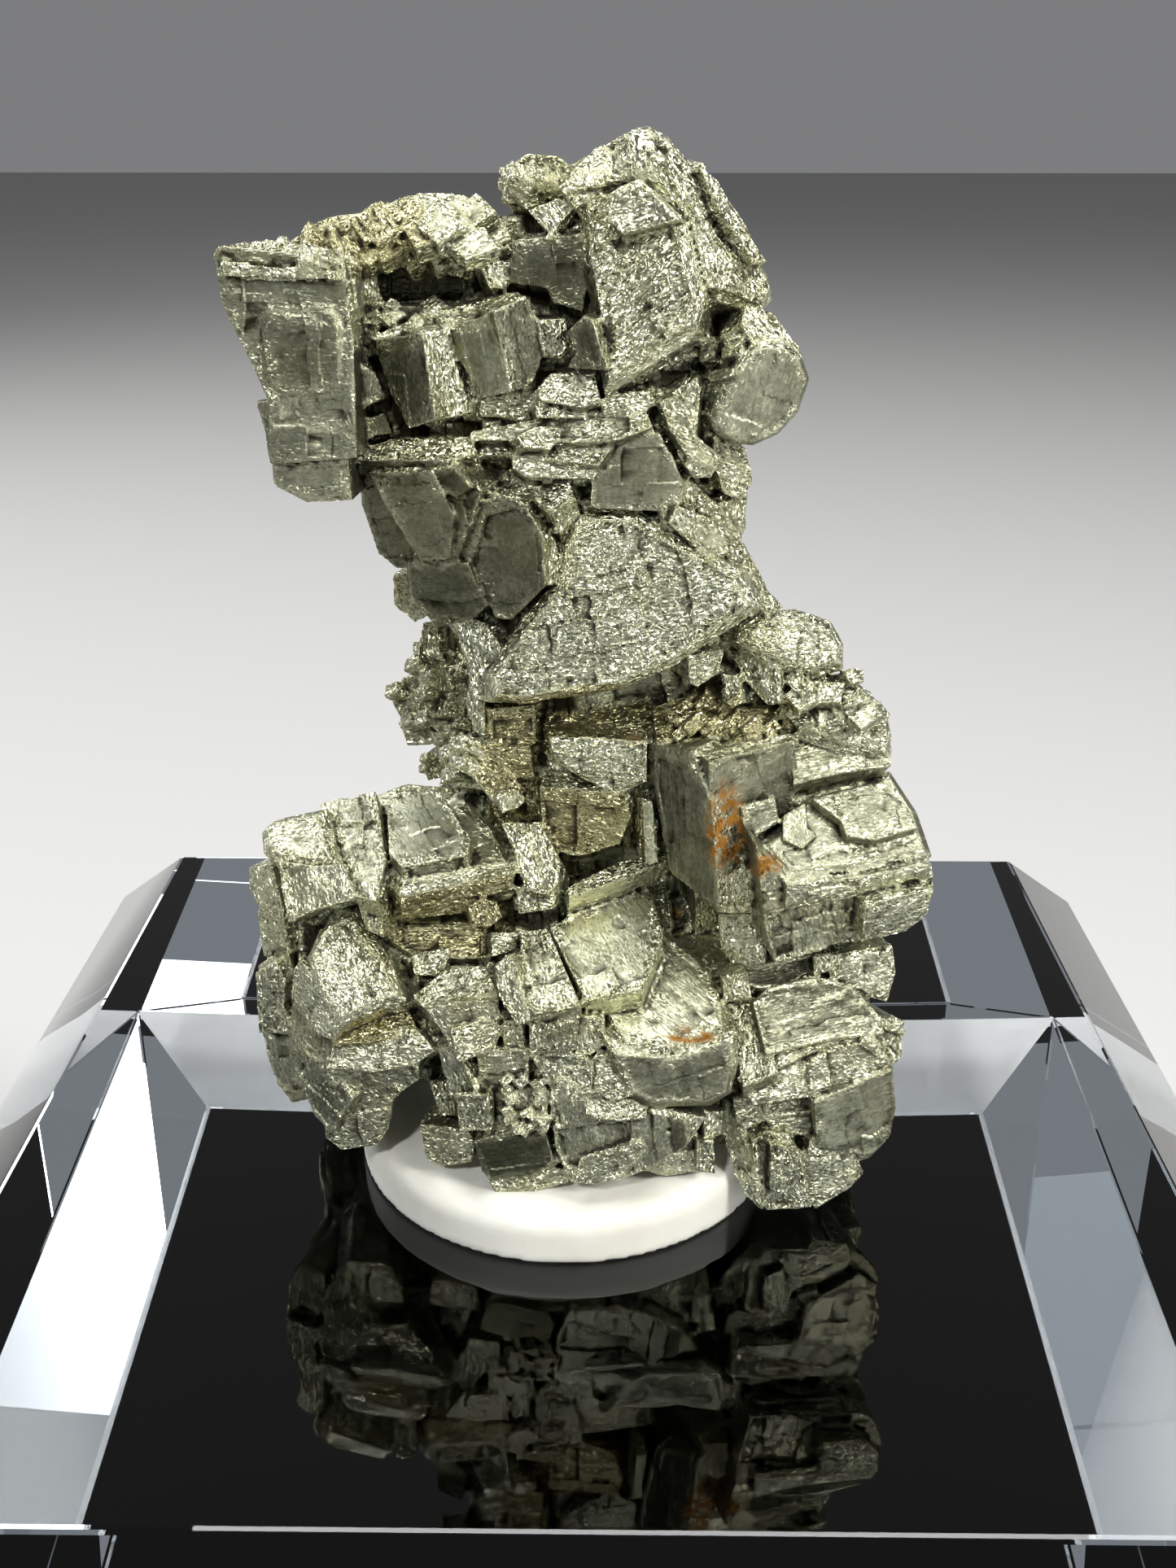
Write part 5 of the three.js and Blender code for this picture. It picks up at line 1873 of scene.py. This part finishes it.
    def cut(self, bm: bmesh.types.BMesh, height: float, outward: int) -> None:
        """Cuts off what lies outside a level and closes the cut.

        Args:
            bm: the skin.
            height: the level.
            outward: 1 to cut off what is above it, -1 for what is below.
        """
        made = bmesh.ops.bisect_plane(
            bm,
            geom=[*bm.verts, *bm.edges, *bm.faces],
            plane_co=(0, 0, height),
            plane_no=(0, 0, outward),
            clear_outer=True,
        )
        rims = [e for e in made["geom_cut"] if isinstance(e, bmesh.types.BMEdge)]
        caps = bmesh.ops.holes_fill(bm, edges=rims, sides=0)["faces"]
        bmesh.ops.triangulate(bm, faces=caps)


# ---------------------------------------------------------------- the holder


@dataclass
class MountingPutty:
    """Soft low disc of putty, pressed up against the crystals."""

    centre: tuple = (-1.13, -3.52)
    radius: float = 11.25
    height: float = 2.7
    segments: int = 120
    edge: float = 0.95
    edge_start: float = 0.9
    edge_segments: int = 6
    voxel: float = 0.28
    top_band: tuple = (0.5, 2.4)
    top_start: float = 0.2
    reach: float = 3.0
    swell: float = 0.35
    swell_band: tuple = (1.4, 0.1)
    uneven: tuple = (Wave(31, 0.35, 0.16), Wave(32, 1.1, 0.05))
    finish: PuttyFinish = field(default_factory=PuttyFinish)

    def build(self, cluster: bpy.types.Object) -> bpy.types.Object:
        """Makes the disc under the finished cluster.

        Args:
            cluster: the cluster's lowest piece, in the row frame.

        Returns:
            The disc.
        """
        bm = bmesh.new()
        bmesh.ops.create_cone(
            bm,
            cap_ends=True,
            segments=self.segments,
            radius1=self.radius,
            radius2=self.radius,
            depth=self.height,
            matrix=Matrix.Translation((*self.centre, BLOCK_HEIGHT + self.height / 2)),
        )
        rim = BLOCK_HEIGHT + self.height * self.edge_start
        top = [e for e in bm.edges if all(v.co.z > rim for v in e.verts)]
        bmesh.ops.bevel(bm, geom=top, offset=self.edge, segments=self.edge_segments, profile=0.5,
                        affect="EDGES", material=-1)
        bmesh.ops.transform(bm, matrix=Matrix.Scale(MM, 4), verts=bm.verts)
        disc = object_from(bm, "putty_disc")
        remesh(disc, self.voxel * MM)
        self.press(disc.data, cluster)
        for face in disc.data.polygons:
            face.use_smooth = True
        coat(disc, self.finish.material())
        return disc

    def press(self, mesh: bpy.types.Mesh, cluster: bpy.types.Object) -> None:
        """Gives the disc its uneven top and the swell beside the crystals.

        Args:
            mesh: the disc's mesh.
            cluster: the cluster's lowest piece.
        """
        bm = bmesh.new()
        bm.from_mesh(cluster.data)
        tree = BVHTree.FromBMesh(bm)
        bm.free()
        points = coordinates(mesh)
        x, y, z = (points / MM).T
        upper = smooth_step(*self.top_band, z - BLOCK_HEIGHT)
        gap = np.full(len(points), self.reach)
        for index in np.nonzero(upper > self.top_start)[0]:
            found = tree.find_nearest(points[index].tolist(), self.reach * MM)
            if found[3] is not None:
                gap[index] = found[3] / MM
        rise = self.swell * smooth_step(*self.swell_band, gap)
        rise += sum(wave.at(x, y) for wave in self.uneven)
        points[:, 2] += rise * upper * MM
        set_coordinates(mesh, points)


@dataclass
class DisplayBlock:
    """Clear block with wide bevels and finely broken edges.

    Faces that lean less than level degrees from each other are made one.
    """

    break_edge: float = 0.22
    weld: float = 1e-6
    level: float = 1
    finish: ClearFinish = field(default_factory=ClearFinish)

    def build(self, node: bpy.types.Object) -> bpy.types.Object:
        """Makes the block from a copy of its CAD solid.

        Args:
            node: the block's CAD node.

        Returns:
            The block.
        """
        bm = bmesh.new()
        bm.from_mesh(node.data)
        bmesh.ops.remove_doubles(bm, verts=bm.verts, dist=self.weld)
        level = math.radians(self.level)
        bmesh.ops.dissolve_limit(bm, angle_limit=level, verts=bm.verts, edges=bm.edges)
        bmesh.ops.bevel(bm, geom=list(bm.edges), offset=self.break_edge * MM, segments=2, profile=0.5,
                        affect="EDGES", material=-1)
        block = object_from(bm, "clear_block")
        coat(block, self.finish.material())
        return block


# ---------------------------------------------------------------- the studio


@dataclass(frozen=True)
class Softbox:
    """Square area light aimed at the cluster, in metres and watts."""

    name: str
    place: tuple
    side: float
    power: float
    colour: tuple = (1, 1, 1)

    def build(self, target: Vector) -> None:
        """Adds the light to the scene.

        Args:
            target: point that it is aimed at.
        """
        data = bpy.data.lights.new(self.name, "AREA")
        data.shape = "SQUARE"
        data.size = self.side
        data.energy = self.power
        data.color = self.colour
        light = bpy.data.objects.new(self.name, data)
        light.location = self.place
        light.rotation_euler = (target - Vector(self.place)).to_track_quat("-Z", "Y").to_euler()
        bpy.context.scene.collection.objects.link(light)


@dataclass
class Studio:
    """Floor, lights, sky and camera.

    The floor and the lights are in metres. The camera's place and lens are in
    millimetres, and it looks down by its pitch and left by its yaw, in degrees.
    """

    floor_side: float = 4.0
    sky: tuple = (0.97, 0.98, 1.0, 1)
    sky_strength: float = 0.21
    eye: tuple = (0.88, -79.51, 103.72)
    pitch: float = 23.3133
    yaw: float = 0.688
    lens: float = 37.61
    sensor: float = 36
    nearest: float = 0.005
    light_target: tuple = (0, 0, 0.075)
    finish: FloorFinish = field(default_factory=FloorFinish)
    lights: tuple = (
        Softbox("overhead", (0.02, 0.08, 0.62), 0.36, 4.35),
        Softbox("key", (0.34, -0.26, 0.36), 0.12, 2.85, (1, 0.97, 0.92)),
        Softbox("rim", (-0.40, 0.30, 0.34), 0.16, 1.6),
        Softbox("glint", (-0.14, -0.36, 0.40), 0.04, 1.6),
        Softbox("side", (0.34, -0.34, 0.13), 0.22, 0.35),
    )

    def build(self) -> None:
        """Sets the whole stage."""
        self.build_floor()
        for light in self.lights:
            light.build(Vector(self.light_target))
        self.build_sky()
        self.build_camera()
        bpy.context.scene.view_settings.view_transform = "Standard"

    def build_floor(self) -> None:
        """Lays the floor, which is staging and no part of the object."""
        bm = bmesh.new()
        bmesh.ops.create_grid(bm, x_segments=2, y_segments=2, size=self.floor_side / 2)
        floor = object_from(bm, "floor")
        coat(floor, self.finish.material())

    def build_sky(self) -> None:
        """Sets the even light from all round."""
        world = bpy.data.worlds.new("sky")
        world.use_nodes = True
        back = world.node_tree.nodes["Background"]
        back.inputs["Color"].default_value = self.sky
        back.inputs["Strength"].default_value = self.sky_strength
        bpy.context.scene.world = world

    def build_camera(self) -> None:
        """Sets the camera."""
        data = bpy.data.cameras.new("camera")
        data.lens = self.lens
        data.sensor_width = self.sensor
        data.clip_start = self.nearest
        camera = bpy.data.objects.new("camera", data)
        camera.location = [value * MM for value in self.eye]
        camera.rotation_euler = (math.radians(90 - self.pitch), 0, math.radians(self.yaw))
        bpy.context.scene.collection.objects.link(camera)
        bpy.context.scene.camera = camera


def main() -> None:
    """Builds every piece in order and reports it."""
    logging.basicConfig(level=logging.INFO, format="%(name)s: %(message)s")
    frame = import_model()
    Studio().build()
    crystals = PyriteCluster().build(frame["nodes"]["pyrite_cluster"])
    for piece in crystals:
        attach(piece, "root")
        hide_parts("pyrite_cluster")
        LOG.info("%s: %d triangles", piece.name, len(piece.data.polygons))
    putty = MountingPutty().build(crystals[0])
    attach(putty, "root")
    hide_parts("mounting_putty")
    LOG.info("putty: %d faces", len(putty.data.polygons))
    block = DisplayBlock().build(frame["nodes"]["display_block"])
    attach(block, "root")
    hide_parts("display_block")
    LOG.info("block: %d faces", len(block.data.polygons))


if __name__ == "__main__":
    main()
